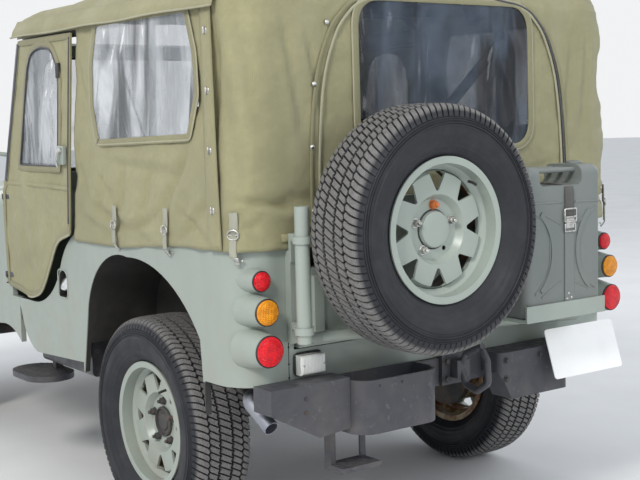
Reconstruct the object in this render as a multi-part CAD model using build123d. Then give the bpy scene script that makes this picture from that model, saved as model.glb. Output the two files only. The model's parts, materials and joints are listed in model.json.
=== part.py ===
from build123d import *
import os
from math import cos, radians, sin

# Soft-top military 4x4 car, millimetres. X points to the car's left, Y to its rear, Z up.
# The origin is on the ground, midway between the front bumper and the back of the spare tyre.

# Driving dimensions of the running gear
TYRE_R = 356.0
TYRE_W = 215.0
RIM_R = 208.0
RIM_W = 165.0
RIM_OUT_X = 740.0
BOLT_CIRCLE = 139.7
BOLT_R = 7.0
WHEEL_X = RIM_OUT_X - RIM_W / 2
DISC_CENTRE = 12.0
DISC_FACE = 34.0
DISC_T = 8.0
AXLE_Z = TYRE_R
REAR_AXLE_Y = 870.0
FRONT_AXLE_Y = -1355.0
RAIL_X = 345.0
RAIL_HALF = 30.0
RAIL_Z = (485.0, 582.0)
RAIL_FRONT_Y = -1790.0
CROSS_Y = (1500.0, 1541.0)
CROSS_HALF = 640.0
KING_PIN_X = 560.0
SPINDLE_R = 20.0
PIN_GAP = 0.05

# Driving dimensions of the body
HALF_W = 787.0
WALL = 20.0
REAR_Y = 1522.0
CORNER_R = 125.0
TUB_FRONT_Y = -52.0
SILL_Z = 510.0
FLOOR_Z = 600.0
FLOOR_T = 18.0
RAIL_TOP_Z = 982.0
QUARTER_BOTTOM_Z = 583.0
HOUSE_X = 505.0
ARCH_REAR_Y = 1324.0
GATE_HALF_W = 595.0
GATE_BOTTOM_Z = 686.0
GATE_TOP_Z = 913.0
GATE_Y = (1504.0, 1537.0)
COWL_FRONT_Y = -314.0
COWL_TOP_Z = 1095.0
DOOR_LEDGE = (-118.0, 685.0)
GRILLE_Y = -1640.0
GRILLE_HALF = 470.0
BUMPER_FRONT_Y = -1875.0
FENDER_TOP_Z = 850.0
WINDSHIELD_HIGH = 570.0
LAMP_IN_X = 355.0
LAMP_IN_Z = 880.0

# Driving dimensions of the soft top; each row is half width, height of the side's outline
SIDE_LINE = ((800.0, 930.0), (800.0, 985.0), (797.0, 1180.0), (782.0, 1690.0))
ROOF_SHOULDER = (757.0, 1746.0)
ROOF_EDGE = (690.0, 1779.0)
ROOF_Z = 1842.0
ROOF_BREAK_Y = 260.0
ROOF_FRONT_Z = 1738.0
CANVAS_T = 7.0
CANVAS_FRONT_Y = 21.0
CANVAS_REAR_Y = 1540.0
CANVAS_CORNER_R = 130.0
HEM_Z = 975.0
FRONT_HEM_Z = 942.0
DOOR_REAR_Y = 518.0
ROOF_FLAP_Z = 1662.0
SIDE_WINDOW = ((1289, 1297), ((1341, 1430), (1275, 1672)), (687, 1672), ((647, 1480), (702, 1290)))
REAR_WINDOW = (364.0, 1235.0, 1700.0)
DOOR_T = 9.0
DOOR_OUT = 9.0
DOOR_PIN = (806.0, -118.0)
DOOR_PIN_Z = ((742.0, 758.0), (1042.0, 1058.0))
STEP_X = (620.0, 810.0)
STEP_Y = -30.0
BOW_YS = (565.0, 1000.0, 1400.0)
BOW_INSET = 36.0
HOOP_Y = 1330.0

# Swing gate at the back: hinge line, spare wheel and fuel can
GATE_HINGE = (652.0, 1645.0)
POST_X = (605.0, 627.0)
GATE_ARMS_Z = ((747.0, 767.0), (1002.0, 1022.0))
SPARE_X = 299.0
SPARE_Z = 1025.0
SPARE_OUT_Y = 1852.0
SPARE_DISC_Y = SPARE_OUT_Y - RIM_W / 2 + DISC_CENTRE
CAN_X = (-440.0, -95.0)
CAN_Y = (1612.0, 1772.0)
CAN_Z = (715.0, 1182.0)

# Tail lamps: height of the centre, lens radius, how far back the lens stands
TAIL_LAMPS = ((893.0, 27.0, 1550.0), (807.0, 36.0, 1574.0), (697.0, 43.0, 1582.0))
LAMP_X = 722.0

# Rear bumperettes, towing hook and plate
BUMPERETTE_Y = (1542.0, 1631.0)
BUMPERETTE_T = 8.0
TOW_Z = 541.0
TOW_BOLTS = [(x, TOW_Z + z) for x in (-42, 42) for z in (-28, 28)]
PLATE_CENTRE = (-479.0, 1661.0, 560.0)
EXHAUST_R = 23.0

# Steering column: lower end, direction and the steering wheel's centre
COLUMN_LOW = Vector(-300, -215, 852)
COLUMN_DIR = Vector(0, 0.80, 0.60)
COLUMN_LENGTH = 430.0
WHEEL_CENTRE = COLUMN_LOW + COLUMN_DIR * COLUMN_LENGTH
SEAT_X = 290.0
SEAT_HALF = 195.0
SEAT_Y = (165.0, 555.0)
CUSHION_Z = (770.0, 872.0)


def block(x, y, z):
    """Box between two limits on each axis."""
    size = Box(x[1] - x[0], y[1] - y[0], z[1] - z[0])
    return Pos((x[0] + x[1]) / 2, (y[0] + y[1]) / 2, (z[0] + z[1]) / 2) * size


def rod(start, end, radius):
    """Round bar from one point to another."""
    path = Line(start, end)
    plane = Plane(origin=start, z_dir=path % 0)
    return extrude(plane * Circle(radius), amount=path.length)


def bent_tube(points, radius, bend):
    """Round tube along straight runs joined by arcs of one bend radius."""
    path = FilletPolyline(*points, radius=bend)
    return sweep(Plane(origin=path @ 0, z_dir=path % 0) * Circle(radius), path=path)


def outline(plane, start, steps):
    """Closed face on a plane; a step is an end point, or an arc's middle and end points."""
    edges = []
    here = start
    for step in steps:
        if isinstance(step[0], tuple):
            edges.append(ThreePointArc(here, step[0], step[1]))
            here = step[1]
        else:
            edges.append(Line(here, step))
            here = step
    if (here[0] - start[0]) ** 2 + (here[1] - start[1]) ** 2 > 1e-9:
        edges.append(Line(here, start))
    return plane * make_face(edges)


def across(start, steps, x):
    """Side outline of (y, z) points, carried across the car between two x limits."""
    return Pos(x[0], 0, 0) * extrude(outline(Plane.YZ, start, steps), amount=x[1] - x[0])


def along(start, steps, y):
    """Front outline of (x, z) points, carried along the car between two y limits."""
    plane = Plane(origin=(0, 0, 0), x_dir=(1, 0, 0), z_dir=(0, -1, 0))
    return Pos(0, y[1], 0) * extrude(outline(plane, start, steps), amount=y[1] - y[0])


def to_right(shape):
    """The shape's mirror image on the car's right side."""
    return mirror(shape, about=Plane.YZ)


def both_sides(shape):
    """The shape and its mirror image on the car's other side."""
    return [shape, to_right(shape)]


def ribbon(points, x, thickness):
    """Bent plate: a side polyline thickened to its right-hand side, carried across between two x limits."""
    path = Polyline(*points)
    face = make_face([*path.edges(), *offset_back(points, thickness)])
    return Pos(x[0], 0, 0) * extrude(Plane.YZ * face, amount=x[1] - x[0])


def offset_back(points, thickness):
    """Edges of the same polyline moved to its right-hand side and closed back to its start."""
    moved = []
    for index, point in enumerate(points):
        before = Vector(*points[max(index - 1, 0)])
        here = Vector(*point)
        after = Vector(*points[min(index + 1, len(points) - 1)])
        first = (here - before).normalized() if index else (after - here).normalized()
        second = (after - here).normalized() if index < len(points) - 1 else first
        normal = Vector(first.Y + second.Y, -first.X - second.X).normalized()
        scale = thickness / max(normal.dot(Vector(first.Y, -first.X)), 0.3)
        moved.append(here + normal * scale)
    corners = [Vector(*points[-1]), *reversed(moved), Vector(*points[0])]
    return [Line(a, b) for a, b in zip(corners, corners[1:])]


def plan_box(half_w, front, rear, corner, z):
    """Plan outline with two round rear corners, between two heights."""
    sketch = Pos(0, (front + rear) / 2, 0) * Rectangle(2 * half_w, rear - front)
    corners = [v for v in sketch.vertices() if v.Y > (front + rear) / 2]
    sketch = fillet(corners, corner)
    return Pos(0, 0, z[0]) * extrude(sketch, amount=z[1] - z[0])


def chassis_frame():
    """Two rails with their cross members and the feet that carry springs and gearbox."""
    frame = block((-CROSS_HALF, CROSS_HALF), CROSS_Y, (495, RAIL_Z[1]))
    for side in (-1, 1):
        rail = (side * RAIL_X - RAIL_HALF, side * RAIL_X + RAIL_HALF)
        frame += block(rail, (RAIL_FRONT_Y, CROSS_Y[0]), RAIL_Z)
    crosses = [
        # y limits, z limits
        ((RAIL_FRONT_Y, RAIL_FRONT_Y + 60), RAIL_Z),
        ((-420, -360), (456, 479)),
        ((180, 240), (535, RAIL_Z[1])),
        ((1150, 1210), (535, RAIL_Z[1])),
    ]
    for y, z in crosses:
        frame += block((-RAIL_X, RAIL_X), y, z)
    feet = [
        # front of the foot, underside
        (-1785, 445.5),
        (-970, 445.5),
        (440, 445.5),
        (1255, 445.5),
        (-415, 456),
    ]
    for y, low in feet:
        for side in (-1, 1):
            x = (side * RAIL_X - RAIL_HALF + 2, side * RAIL_X + RAIL_HALF - 2)
            frame += block(x, (y, y + 45), (low, RAIL_Z[0] + 5))
    return frame - tow_bolt_holes()


def wheel_arch(x, grow=0.0):
    """Teardrop wheel opening: a steep front edge, a round top and a long sloping rear edge."""
    return across(
        (499 - grow, 460),
        [
            (545 - grow, 682),
            ((641 - grow * 0.7, 857 + grow * 0.7), (855, 913 + grow)),
            ((1128 + grow * 0.5, 855 + grow * 0.8), (1303 + grow, 703)),
            (ARCH_REAR_Y + grow, 460),
        ],
        x,
    )


def body_tub():
    """Tub with round rear corners, wheel houses, a gate opening and the pocket of the fuel filler."""
    wide = (-HALF_W - 50, HALF_W + 50)
    outer = plan_box(HALF_W, TUB_FRONT_Y, REAR_Y, CORNER_R, (480, RAIL_TOP_Z))
    inner = plan_box(HALF_W - WALL, TUB_FRONT_Y - 50, REAR_Y - WALL, CORNER_R - WALL, (400, 1100))
    walls = outer - inner
    # Lower edge: deep below the door, higher behind the wheel
    walls -= block(wide, (ARCH_REAR_Y - 1, REAR_Y + 50), (400, QUARTER_BOTTOM_Z))
    lower_cut = [(-100, 700), (-36, 637), ((3, 552), (99, 493)), (499, 514), (499, 400)]
    walls -= across((-100, 400), lower_cut, wide)
    # Door opening with its swept rear edge
    upper_cut = [(-100, 685), (105, 685), ((238, 728), (330, 823)), ((412, 931), (506, 977)), (506, 1100)]
    walls -= across((-100, 1100), upper_cut, wide)
    # Opening of the swing gate
    gate_gap = (-GATE_HALF_W - 8, GATE_HALF_W + 8)
    walls -= block(gate_gap, (REAR_Y - 60, REAR_Y + 10), (GATE_BOTTOM_Z - 6, 1100))
    tub = walls + plan_box(HALF_W - 4, TUB_FRONT_Y, REAR_Y - 4, CORNER_R - 4, (FLOOR_Z, FLOOR_Z + FLOOR_T))
    # Wheel houses, sheet shells over the rear tyres
    for side in (-1, 1):
        shell_x = sorted((side * HOUSE_X, side * (HALF_W - 2)))
        tub += wheel_arch(shell_x, 14) & block((-900, 900), (400, 1700), (QUARTER_BOTTOM_Z, 1000))
    for side in (-1, 1):
        tub -= wheel_arch(sorted((side * (HOUSE_X + 12), side * (HALF_W + 100))))
    # Pocket of the fuel filler in the left side, with a round top
    tub += block((HALF_W - 66, HALF_W - 10), (308, 396), (722, 831))
    tub -= across((315, 729), [(315, 788), ((352, 825), (389, 788)), (389, 729)], (HALF_W - 60, HALF_W + 10))
    return tub


def door_pin_bracket(z):
    """Ring on the scuttle's left side that holds the door's hinge pin at one height."""
    x, y = DOOR_PIN
    ring = block((HALF_W - 0.1, x), (y - 8, y), z) + rod((x, y, z[0]), (x, y, z[1]), 8)
    return ring - rod((x, y, z[0] - 1), (x, y, z[1] + 1), 4 + PIN_GAP)


def cowl():
    """Scuttle between the bonnet and the doors: bulkhead, side cheeks, top panel and dash."""
    rear = TUB_FRONT_Y - 1
    inside = (WALL - HALF_W, HALF_W - WALL)
    shell = block((-HALF_W, HALF_W), (COWL_FRONT_Y, rear), (SILL_Z, COWL_TOP_Z))
    shell = fillet(shell.edges().filter_by(Axis.Y).group_by(Axis.Z)[-1], 60)
    shell -= block(inside, (COWL_FRONT_Y + 18, 100), (400, COWL_TOP_Z - 20))
    # The lower edge sweeps down to the sill
    shell -= across(
        (-500, 400), [(-500, 560), (-250, 560), ((-140, 555), (rear, SILL_Z)), (rear + 20, 400)], (-900, 900)
    )
    # The cheeks give way to the doors above the sill
    shell -= across((DOOR_LEDGE[0], 1200), [DOOR_LEDGE, (0, DOOR_LEDGE[1]), (0, 1200)], (-900, 900))
    shell -= block(inside, (COWL_FRONT_Y - 16, COWL_FRONT_Y + 114), (400, FLOOR_Z))
    dash = block(inside, (-142, DOOR_LEDGE[0]), (900, COWL_TOP_Z - 20))
    toe_board = block(inside, (COWL_FRONT_Y + 18, TUB_FRONT_Y - 0.2), (FLOOR_Z, FLOOR_Z + FLOOR_T))
    shell += dash + toe_board
    for z in DOOR_PIN_Z:
        for bracket in both_sides(door_pin_bracket(z)):
            shell += bracket
    return shell - rod(COLUMN_LOW, WHEEL_CENTRE, 26 + PIN_GAP)


def front_fender():
    """Flat-topped left front fender with a swept rear skirt, an outer lip and an inner apron."""
    rear = COWL_FRONT_Y - 1
    line = [
        (-1712, 720),
        (-1712, 800),
        (-1680, 842),
        (-1640, FENDER_TOP_Z),
        (-985, FENDER_TOP_Z),
        (-910, 822),
        (-700, 610),
        (-640, 575),
        (rear, 562),
    ]
    lip_line = [
        (rear, 532),
        (-655, 530),
        (-742, 572),
        (-935, 765),
        (-1000, 790),
        (-1620, 790),
        (-1668, 780),
        (-1690, 720),
    ]
    inside = (GRILLE_HALF, GRILLE_HALF + 12)
    top = ribbon(line, (GRILLE_HALF, HALF_W), 12)
    lip = across(line[0], [*line[1:], *lip_line], (HALF_W - 12, HALF_W))
    apron = block(inside, (-1630, rear), (590, FENDER_TOP_Z - 4))
    # The apron is open as far as the steered tyre sweeps
    apron -= across((-1665, 500), [(-1665, 660), ((-1355, 810), (-1055, 660)), (-1055, 500)], (400, 500))
    apron &= across(
        (-1700, 600),
        [(-1700, FENDER_TOP_Z), (-985, FENDER_TOP_Z), (-700, 700), (rear, 700), (rear, 600)],
        (400, 500),
    )
    cheek = block(inside, (-760, rear), (562, 980))
    return top + lip + apron + cheek


def grille():
    """Flat grille panel with nine upright slots and two round lamp openings."""
    panel = block((-GRILLE_HALF, GRILLE_HALF), (GRILLE_Y - 30, GRILLE_Y), (RAIL_Z[1] + 0.2, 1052))
    panel = fillet(panel.edges().filter_by(Axis.Y).group_by(Axis.Z)[-1], 70)
    for index in range(9):
        x = (index - 4) * 58.0
        low = 640 if abs(index - 4) < 3 else 690
        slot = block((x - 17, x + 17), (GRILLE_Y - 60, GRILLE_Y + 30), (low, 985))
        panel -= fillet(slot.edges().filter_by(Axis.Y), 16)
    for side in (-1, 1):
        x = side * LAMP_IN_X
        panel -= rod((x, GRILLE_Y - 60, LAMP_IN_Z), (x, GRILLE_Y + 30, LAMP_IN_Z), 88)
    return panel


def radiator():
    """Radiator core with its upper and lower tanks."""
    core = block((-330, 330), (GRILLE_Y + 45, GRILLE_Y + 105), (RAIL_Z[1] + 0.2, 1000))
    for z in ((RAIL_Z[1] + 0.2, 640), (940, 1000)):
        core += block((-345, 345), (GRILLE_Y + 40, GRILLE_Y + 110), z)
    return core


def power_unit():
    """Engine as one plain block on its mounts, and the gearbox behind it."""
    engine = block((-210, 210), (-1440, -760), (500, 985))
    mounts = block((0.2 + RAIL_HALF - RAIL_X, RAIL_X - RAIL_HALF - 0.2), (-1150, -1090), (520, 580))
    gearbox = block((-130, 130), (-755, -100), (480, 596))
    transfer = block((-150, 180), (-100, 160), (420, 575))
    return [engine + mounts, gearbox + transfer]


def front_bumper():
    """Straight steel channel bumper with a bracket to each rail."""
    bar = block((-770, 770), (BUMPER_FRONT_Y, BUMPER_FRONT_Y + 70), (480, 600))
    bar = fillet(bar.edges().filter_by(Axis.Z).group_by(Axis.Y)[0], 30)
    bar -= block((-762, 762), (BUMPER_FRONT_Y + 8, BUMPER_FRONT_Y + 90), (488, 592))
    for side in (-1, 1):
        x = (side * RAIL_X - 40, side * RAIL_X + 40)
        bar += block(x, (BUMPER_FRONT_Y + 6, RAIL_FRONT_Y - 0.2), (486, 594))
    return bar


def windshield_plane():
    """Plane of the windshield, leaning back from its hinges on the cowl."""
    return Plane(origin=(0, -120, COWL_TOP_Z + 6), x_dir=(1, 0, 0), z_dir=(0, -0.955, 0.297))


def windshield_frame():
    """Windshield frame with its hinge feet and two round mirrors on stays."""
    plane = windshield_plane()
    rim = Pos(0, WINDSHIELD_HIGH / 2) * RectangleRounded(1490, WINDSHIELD_HIGH, 60)
    hole = Pos(0, WINDSHIELD_HIGH / 2 + 8) * RectangleRounded(1370, WINDSHIELD_HIGH - 110, 50)
    frame = extrude(plane * (rim - hole), amount=18, both=True)
    for side in (-1, 1):
        frame += block((side * 600 - 30, side * 600 + 30), (-146, -106), (COWL_TOP_Z + 1, COWL_TOP_Z + 40))
        frame += rod((side * 725, -98, 1220), (side * 865, -168, 1250), 8)
        frame += Pos(side * 870, -176, 1270) * Rot(90, 0, 0) * Cylinder(68, 22)
    return frame


def windshield_glass():
    """Flat pane in the windshield frame."""
    plane = windshield_plane()
    pane = Pos(0, WINDSHIELD_HIGH / 2 + 8) * RectangleRounded(1368, WINDSHIELD_HIGH - 112, 49)
    return extrude(plane * pane, amount=3, both=True)


def axle_housing(y, diff_x, reach, nose):
    """Axle tube with the round housing of its differential and the nose towards the drive shaft."""
    tube = rod((-reach, y, AXLE_Z), (reach, y, AXLE_Z), 38)
    pot = Pos(diff_x, y, AXLE_Z) * Sphere(118)
    return tube + pot + rod((diff_x, y, AXLE_Z), (diff_x, y + nose, AXLE_Z + 15), 48)


def front_axle():
    """Steered axle with the forks that hold the king pins."""
    axle = axle_housing(FRONT_AXLE_Y, -190.0, 470.0, 190.0)
    y = (FRONT_AXLE_Y - 20, FRONT_AXLE_Y + 20)
    for side in (-1, 1):
        axle += block(
            (side * 485 - 20, side * 485 + 20),
            (FRONT_AXLE_Y - 40, FRONT_AXLE_Y + 40),
            (AXLE_Z - 75, AXLE_Z + 75),
        )
        for z in (AXLE_Z - 75, AXLE_Z + 45):
            axle += block((side * 522 - 58, side * 522 + 58), y, (z, z + 30))
        x = side * KING_PIN_X
        axle -= rod((x, FRONT_AXLE_Y, AXLE_Z - 90), (x, FRONT_AXLE_Y, AXLE_Z + 90), 14 + PIN_GAP)
    return axle


def rear_axle():
    """Rigid rear axle with brake backing plates and spindles."""
    axle = axle_housing(REAR_AXLE_Y, 0.0, 575.0, -190.0)
    for side in (-1, 1):
        axle += rod((side * 560, REAR_AXLE_Y, AXLE_Z), (side * 582, REAR_AXLE_Y, AXLE_Z), 140)
        axle += rod((side * 575, REAR_AXLE_Y, AXLE_Z), (side * 642, REAR_AXLE_Y, AXLE_Z), SPINDLE_R)
    return axle


def leaf_springs():
    """One curved leaf pack over each end of each axle."""
    springs = []
    low = AXLE_Z + 38.5
    for y in (FRONT_AXLE_Y, REAR_AXLE_Y):
        for side in (-1, 1):
            pack = across(
                (y - 430, low + 34),
                [((y, low), (y + 430, low + 34)), (y + 430, low + 50), ((y, low + 34), (y - 430, low + 50))],
                (side * RAIL_X - 28, side * RAIL_X + 28),
            )
            springs.append(pack)
    return springs


def drive_shafts():
    """Shafts from the transfer case to both axles."""
    rear = rod((0, 166, 452), (0, REAR_AXLE_Y - 192, AXLE_Z + 18), 30)
    front = rod((-115, -105, 442), (-190, FRONT_AXLE_Y + 192, AXLE_Z + 18), 26)
    return [rear, front]


def fuel_tank():
    """Tank below the left door, hung on two straps from the rail."""
    tank = block((540, 745), (45, 478), (450, 579))
    tank = fillet(tank.edges().filter_by(Axis.Y), 18)
    for y in (110, 350):
        tank += block((RAIL_X + RAIL_HALF + 0.2, 545), (y, y + 40), (510, 540))
    return tank


def side_step():
    """Oval step below the left door on its cranked bracket."""
    oval = SlotOverall(300, STEP_X[1] - STEP_X[0], 90)
    tread = Pos(sum(STEP_X) / 2, STEP_Y, 372) * extrude(oval, amount=22)
    y = (STEP_Y - 20, STEP_Y + 10)
    arm = block((RAIL_X + RAIL_HALF + 0.2, 665), y, (486, 506)) + block((635, 665), y, (380, 506))
    return tread + arm


def steps():
    """Side steps, and the folding step under the left end of the rear bumper."""
    left = side_step()
    rear = block((497, 517), (1541.2, 1571), (330, 520)) + block((375, 395), (1550.2, 1558), (330, 500))
    rear += block((375, 517), (1542.2, 1631), (318, 332))
    return [left, to_right(left), rear]


def seat_frame(x):
    """Box base of a front seat with open sides."""
    frame = block((x - SEAT_HALF, x + SEAT_HALF), SEAT_Y, (FLOOR_Z + FLOOR_T + 0.2, CUSHION_Z[0] - 0.2))
    y = (SEAT_Y[0] + 15, SEAT_Y[1] - 15)
    inner = SEAT_HALF - 15
    frame -= block((x - inner, x + inner), y, (FLOOR_Z + 10, CUSHION_Z[0] - 10))
    frame -= block((x - 300, x + 300), (SEAT_Y[0] + 50, SEAT_Y[1] - 50), (FLOOR_Z + 10, CUSHION_Z[0] - 20))
    through = (x - inner + 10, x + inner - 10)
    frame -= block(through, (SEAT_Y[0] - 50, SEAT_Y[1] + 50), (FLOOR_Z + 10, CUSHION_Z[0] - 20))
    return frame


def seat_frames():
    """Bases of both front seats."""
    return [seat_frame(-SEAT_X), seat_frame(SEAT_X)]


def seat_pads():
    """Cushion and leaning back of each front seat."""
    pads = []
    for x in (-SEAT_X, SEAT_X):
        cushion = block((x - 200, x + 200), (SEAT_Y[0] - 15, SEAT_Y[1] + 20), CUSHION_Z)
        back = across((515, 874), [(600, 1290), (680, 1290), (615, 874)], (x - SEAT_HALF, x + SEAT_HALF))
        pads += [fillet(cushion.edges(), 30), fillet(back.edges().filter_by(Axis.X), 24)]
    return pads


def bench_pads():
    """Side-facing bench cushions over the rear wheel houses."""
    pads = []
    for side in (-1, 1):
        cushion = block((side * 622 - 118, side * 622 + 118), (1010, 1440), (932, 1000))
        pads.append(fillet(cushion.edges(), 20))
    return pads


def steering_column():
    """Straight column from the bulkhead up to the steering wheel's hub."""
    return rod(COLUMN_LOW, WHEEL_CENTRE - COLUMN_DIR * 22, 26)


def steering_wheel():
    """Three-spoke steering wheel."""
    plane = Plane(origin=WHEEL_CENTRE, x_dir=(1, 0, 0), z_dir=COLUMN_DIR)
    wheel = plane * Torus(200, 13) + plane * Cylinder(34, 34)
    for angle in (90, 210, 330):
        end = plane.from_local_coords(Vector(200 * cos(radians(angle)), 200 * sin(radians(angle)), 0))
        wheel += rod(WHEEL_CENTRE, end, 8)
    return wheel


def roll_hoop():
    """Black tube hoop behind the front seats with one diagonal brace."""
    foot = FLOOR_Z + FLOOR_T + 0.2
    half = [
        # half width, height
        (470, foot),
        (470, 1560),
        (400, 1690),
    ]
    line = [(x, HOOP_Y, z) for x, z in half] + [(-x, HOOP_Y, z) for x, z in reversed(half)]
    return bent_tube(line, 24, 90) + rod((-440, HOOP_Y, 1600), (460, HOOP_Y, 800), 18)


def top_bows():
    """Folding bows that carry the canvas, close under its skin."""
    bows = []
    half = [
        (SIDE_LINE[2][0] - BOW_INSET, RAIL_TOP_Z + 0.2),
        (SIDE_LINE[3][0] - BOW_INSET, SIDE_LINE[3][1] - 30),
        (ROOF_EDGE[0] - 40, ROOF_EDGE[1] - BOW_INSET + 4),
    ]
    for y in BOW_YS:
        points = [(x, y, z) for x, z in half] + [(-x, y, z) for x, z in reversed(half)]
        bows.append(bent_tube(points, 13, 60))
    return bows


def top_section(inset):
    """Cross-section steps of the soft top, set in from its outer face."""
    side = [(x - inset, z) for x, z in SIDE_LINE]
    shoulder = (ROOF_SHOULDER[0] - inset * 0.8, ROOF_SHOULDER[1] - inset * 0.6)
    edge = (ROOF_EDGE[0], ROOF_EDGE[1] - inset)
    steps_list = [
        *side[1:],
        (shoulder, edge),
        ((0, ROOF_Z - inset), (-edge[0], edge[1])),
        ((-shoulder[0], shoulder[1]), (-side[3][0], side[3][1])),
        *[(-x, z) for x, z in reversed(side[:3])],
    ]
    return side[0], steps_list


def top_body(inset):
    """Closed form of the soft top: front outline, side outline and plan outline cut together."""
    start, steps_list = top_section(inset)
    front = CANVAS_FRONT_Y if inset == 0 else CANVAS_FRONT_Y - 20
    form = along(start, steps_list, (front, CANVAS_REAR_Y + 10))
    rear = CANVAS_REAR_Y - inset
    side = across(
        (front, 900),
        [
            (rear, 900),
            (rear, 990),
            (rear - 10, 1700),
            ((rear - 32, 1775 - inset), (rear - 100, ROOF_Z - 32 - inset)),
            (1000, ROOF_Z + 20 - inset),
            (ROOF_BREAK_Y, ROOF_Z + 10 - inset),
            (front, ROOF_FRONT_Z - inset),
        ],
        (-900, 900),
    )
    plan = plan_box(SIDE_LINE[0][0] - inset, front, rear, CANVAS_CORNER_R - inset, (900, 2000))
    return form & side & plan


def side_window_hole(shrink, x):
    """Opening of the side curtain's clear window, made smaller all round by one amount."""
    face = outline(Plane.XY, (725, 1280), SIDE_WINDOW)
    face = fillet(face.vertices(), 18)
    if shrink:
        face = offset(face, amount=-shrink)
    return Pos(x[0], 0, 0) * extrude(Plane.YZ * face, amount=x[1] - x[0])


def rear_window_hole(shrink):
    """Opening of the rear curtain's big window, with round corners."""
    half, low, high = REAR_WINDOW
    pane = RectangleRounded(2 * (half - shrink), high - low - 2 * shrink, 95 - shrink)
    face = Pos(0, (low + high) / 2) * pane
    plane = Plane(origin=(0, 0, 0), x_dir=(1, 0, 0), z_dir=(0, -1, 0))
    return Pos(0, CANVAS_REAR_Y + 60, 0) * extrude(plane * face, amount=250)


def canvas_top():
    """Fixed soft top: roof, quarters and rear curtain, open at the doors and over the windshield."""
    wide = (-900, 900)
    left = (600, 900)
    top = top_body(0) - top_body(CANVAS_T)
    # Door openings below the roof flap
    top -= across(
        (-100, 900),
        [
            (-100, ROOF_FLAP_Z),
            (DOOR_REAR_Y + 14, ROOF_FLAP_Z),
            (DOOR_REAR_Y - 28, 957),
            (DOOR_REAR_Y - 28, 900),
        ],
        wide,
    )
    # The hem rises behind the door
    hem = [(-100, FRONT_HEM_Z), (821, FRONT_HEM_Z), (1230, HEM_Z), (1700, HEM_Z), (1700, 800)]
    top -= across((-100, 800), hem, wide)
    hole = side_window_hole(0, left)
    return top - hole - to_right(hole) - rear_window_hole(0)


def window_film():
    """Clear film set in the three openings of the soft top."""
    skin = top_body(2) - top_body(CANVAS_T - 2)
    side = side_window_hole(0.5, (600, 900))
    panes = []
    for hole in (side, to_right(side), rear_window_hole(0.5)):
        panes += (skin & hole).solids()
    return panes


def door_slab(inset, thickness):
    """Sheet that follows the side of the car, a little outside the body."""
    outer = [(HALF_W + 15 - inset, 690.0)] + [(x + DOOR_OUT - inset, z) for x, z in SIDE_LINE[1:]]
    inner = [(x - thickness, z) for x, z in reversed(outer)]
    return along(outer[0], [*outer[1:], *inner], (-160, 600))


def door_outline(x):
    """Soft door: front edge on the windshield, swept lower rear edge ending in a tip."""
    return across(
        (-114, 730),
        [
            ((-28, 720), (54, 708)),
            (96, 702),
            ((197, 731), (293, 837)),
            ((371, 926), (479, 963)),
            (DOOR_REAR_Y - 36, 992),
            (DOOR_REAR_Y, ROOF_FLAP_Z - 8),
            (64, ROOF_FLAP_Z - 8),
            (-87, 1125),
            (-114, 1094),
        ],
        x,
    )


def door_window_hole(grow, x):
    """Clear window of the soft door, wide below and round at its narrow top."""
    return across(
        (64 - grow, 1197 - grow),
        [
            (400 + grow, 1197 - grow),
            (414 + grow, 1483),
            ((352, 1606 + grow), (240, 1616 + grow)),
            ((158, 1606 + grow), (130 - grow, 1504)),
        ],
        x,
    )


def door_left():
    """Left soft door with its window opening and the two pins that stand in the scuttle's rings."""
    x, y = DOOR_PIN
    door = door_slab(0, DOOR_T) & door_outline((600, 900))
    door -= door_window_hole(0, (600, 900))
    for low, high in DOOR_PIN_Z:
        door -= block((700, 900), (y - 14, y + 14), (low - 5, high + 5))
        door += block((x - 9, x), (y, y + 14), (high + 5, high + 25))
        door += rod((x, y, high + 5), (x, y, high + 25), 7)
        door += rod((x, y, low - 6), (x, y, high + 8), 4)
    return door


def door_window():
    """Clear film of the left door."""
    return door_slab(3, DOOR_T - 6) & door_window_hole(-0.5, (600, 900))


def bonnet_section(y, drop):
    """Outline of the bonnet at one place: flat sides, round shoulders and a slightly arched top."""
    low = 862
    return outline(
        Plane(origin=(0, y, 0), x_dir=(1, 0, 0), z_dir=(0, -1, 0)),
        (-464, low),
        [
            (-464, 1035 - drop),
            ((-430, 1083 - drop), (-380, 1090 - drop)),
            ((0, 1102 - drop), (380, 1090 - drop)),
            ((430, 1083 - drop), (464, 1035 - drop)),
            (464, low),
        ],
    )


def bonnet():
    """Tall flat-sided bonnet that falls a little towards the grille."""
    outer = loft([bonnet_section(COWL_FRONT_Y - 6, 0), bonnet_section(GRILLE_Y + 6, 37)])
    y = (GRILLE_Y, COWL_FRONT_Y)
    return outer - block((-456, 456), y, (800, 1000)) - block((-380, 380), y, (990, 1030))


def gate_panel():
    """Pressed steel gate with upright ribs and a folded top edge."""
    panel = block((-GATE_HALF_W, GATE_HALF_W), GATE_Y, (GATE_BOTTOM_Z, GATE_TOP_Z))
    inside = (12 - GATE_HALF_W, GATE_HALF_W - 12)
    panel -= block(inside, (GATE_Y[0] - 5, GATE_Y[1] - 12), (GATE_BOTTOM_Z + 12, GATE_TOP_Z - 12))
    for index in range(9):
        x = (index - 4) * 131.0
        rib = block((x - 22, x + 22), (GATE_Y[1] - 4, GATE_Y[1] + 8), (GATE_BOTTOM_Z + 20, GATE_TOP_Z - 20))
        panel += chamfer(rib.edges().group_by(Axis.Y)[-1], 5)
    return panel


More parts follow.
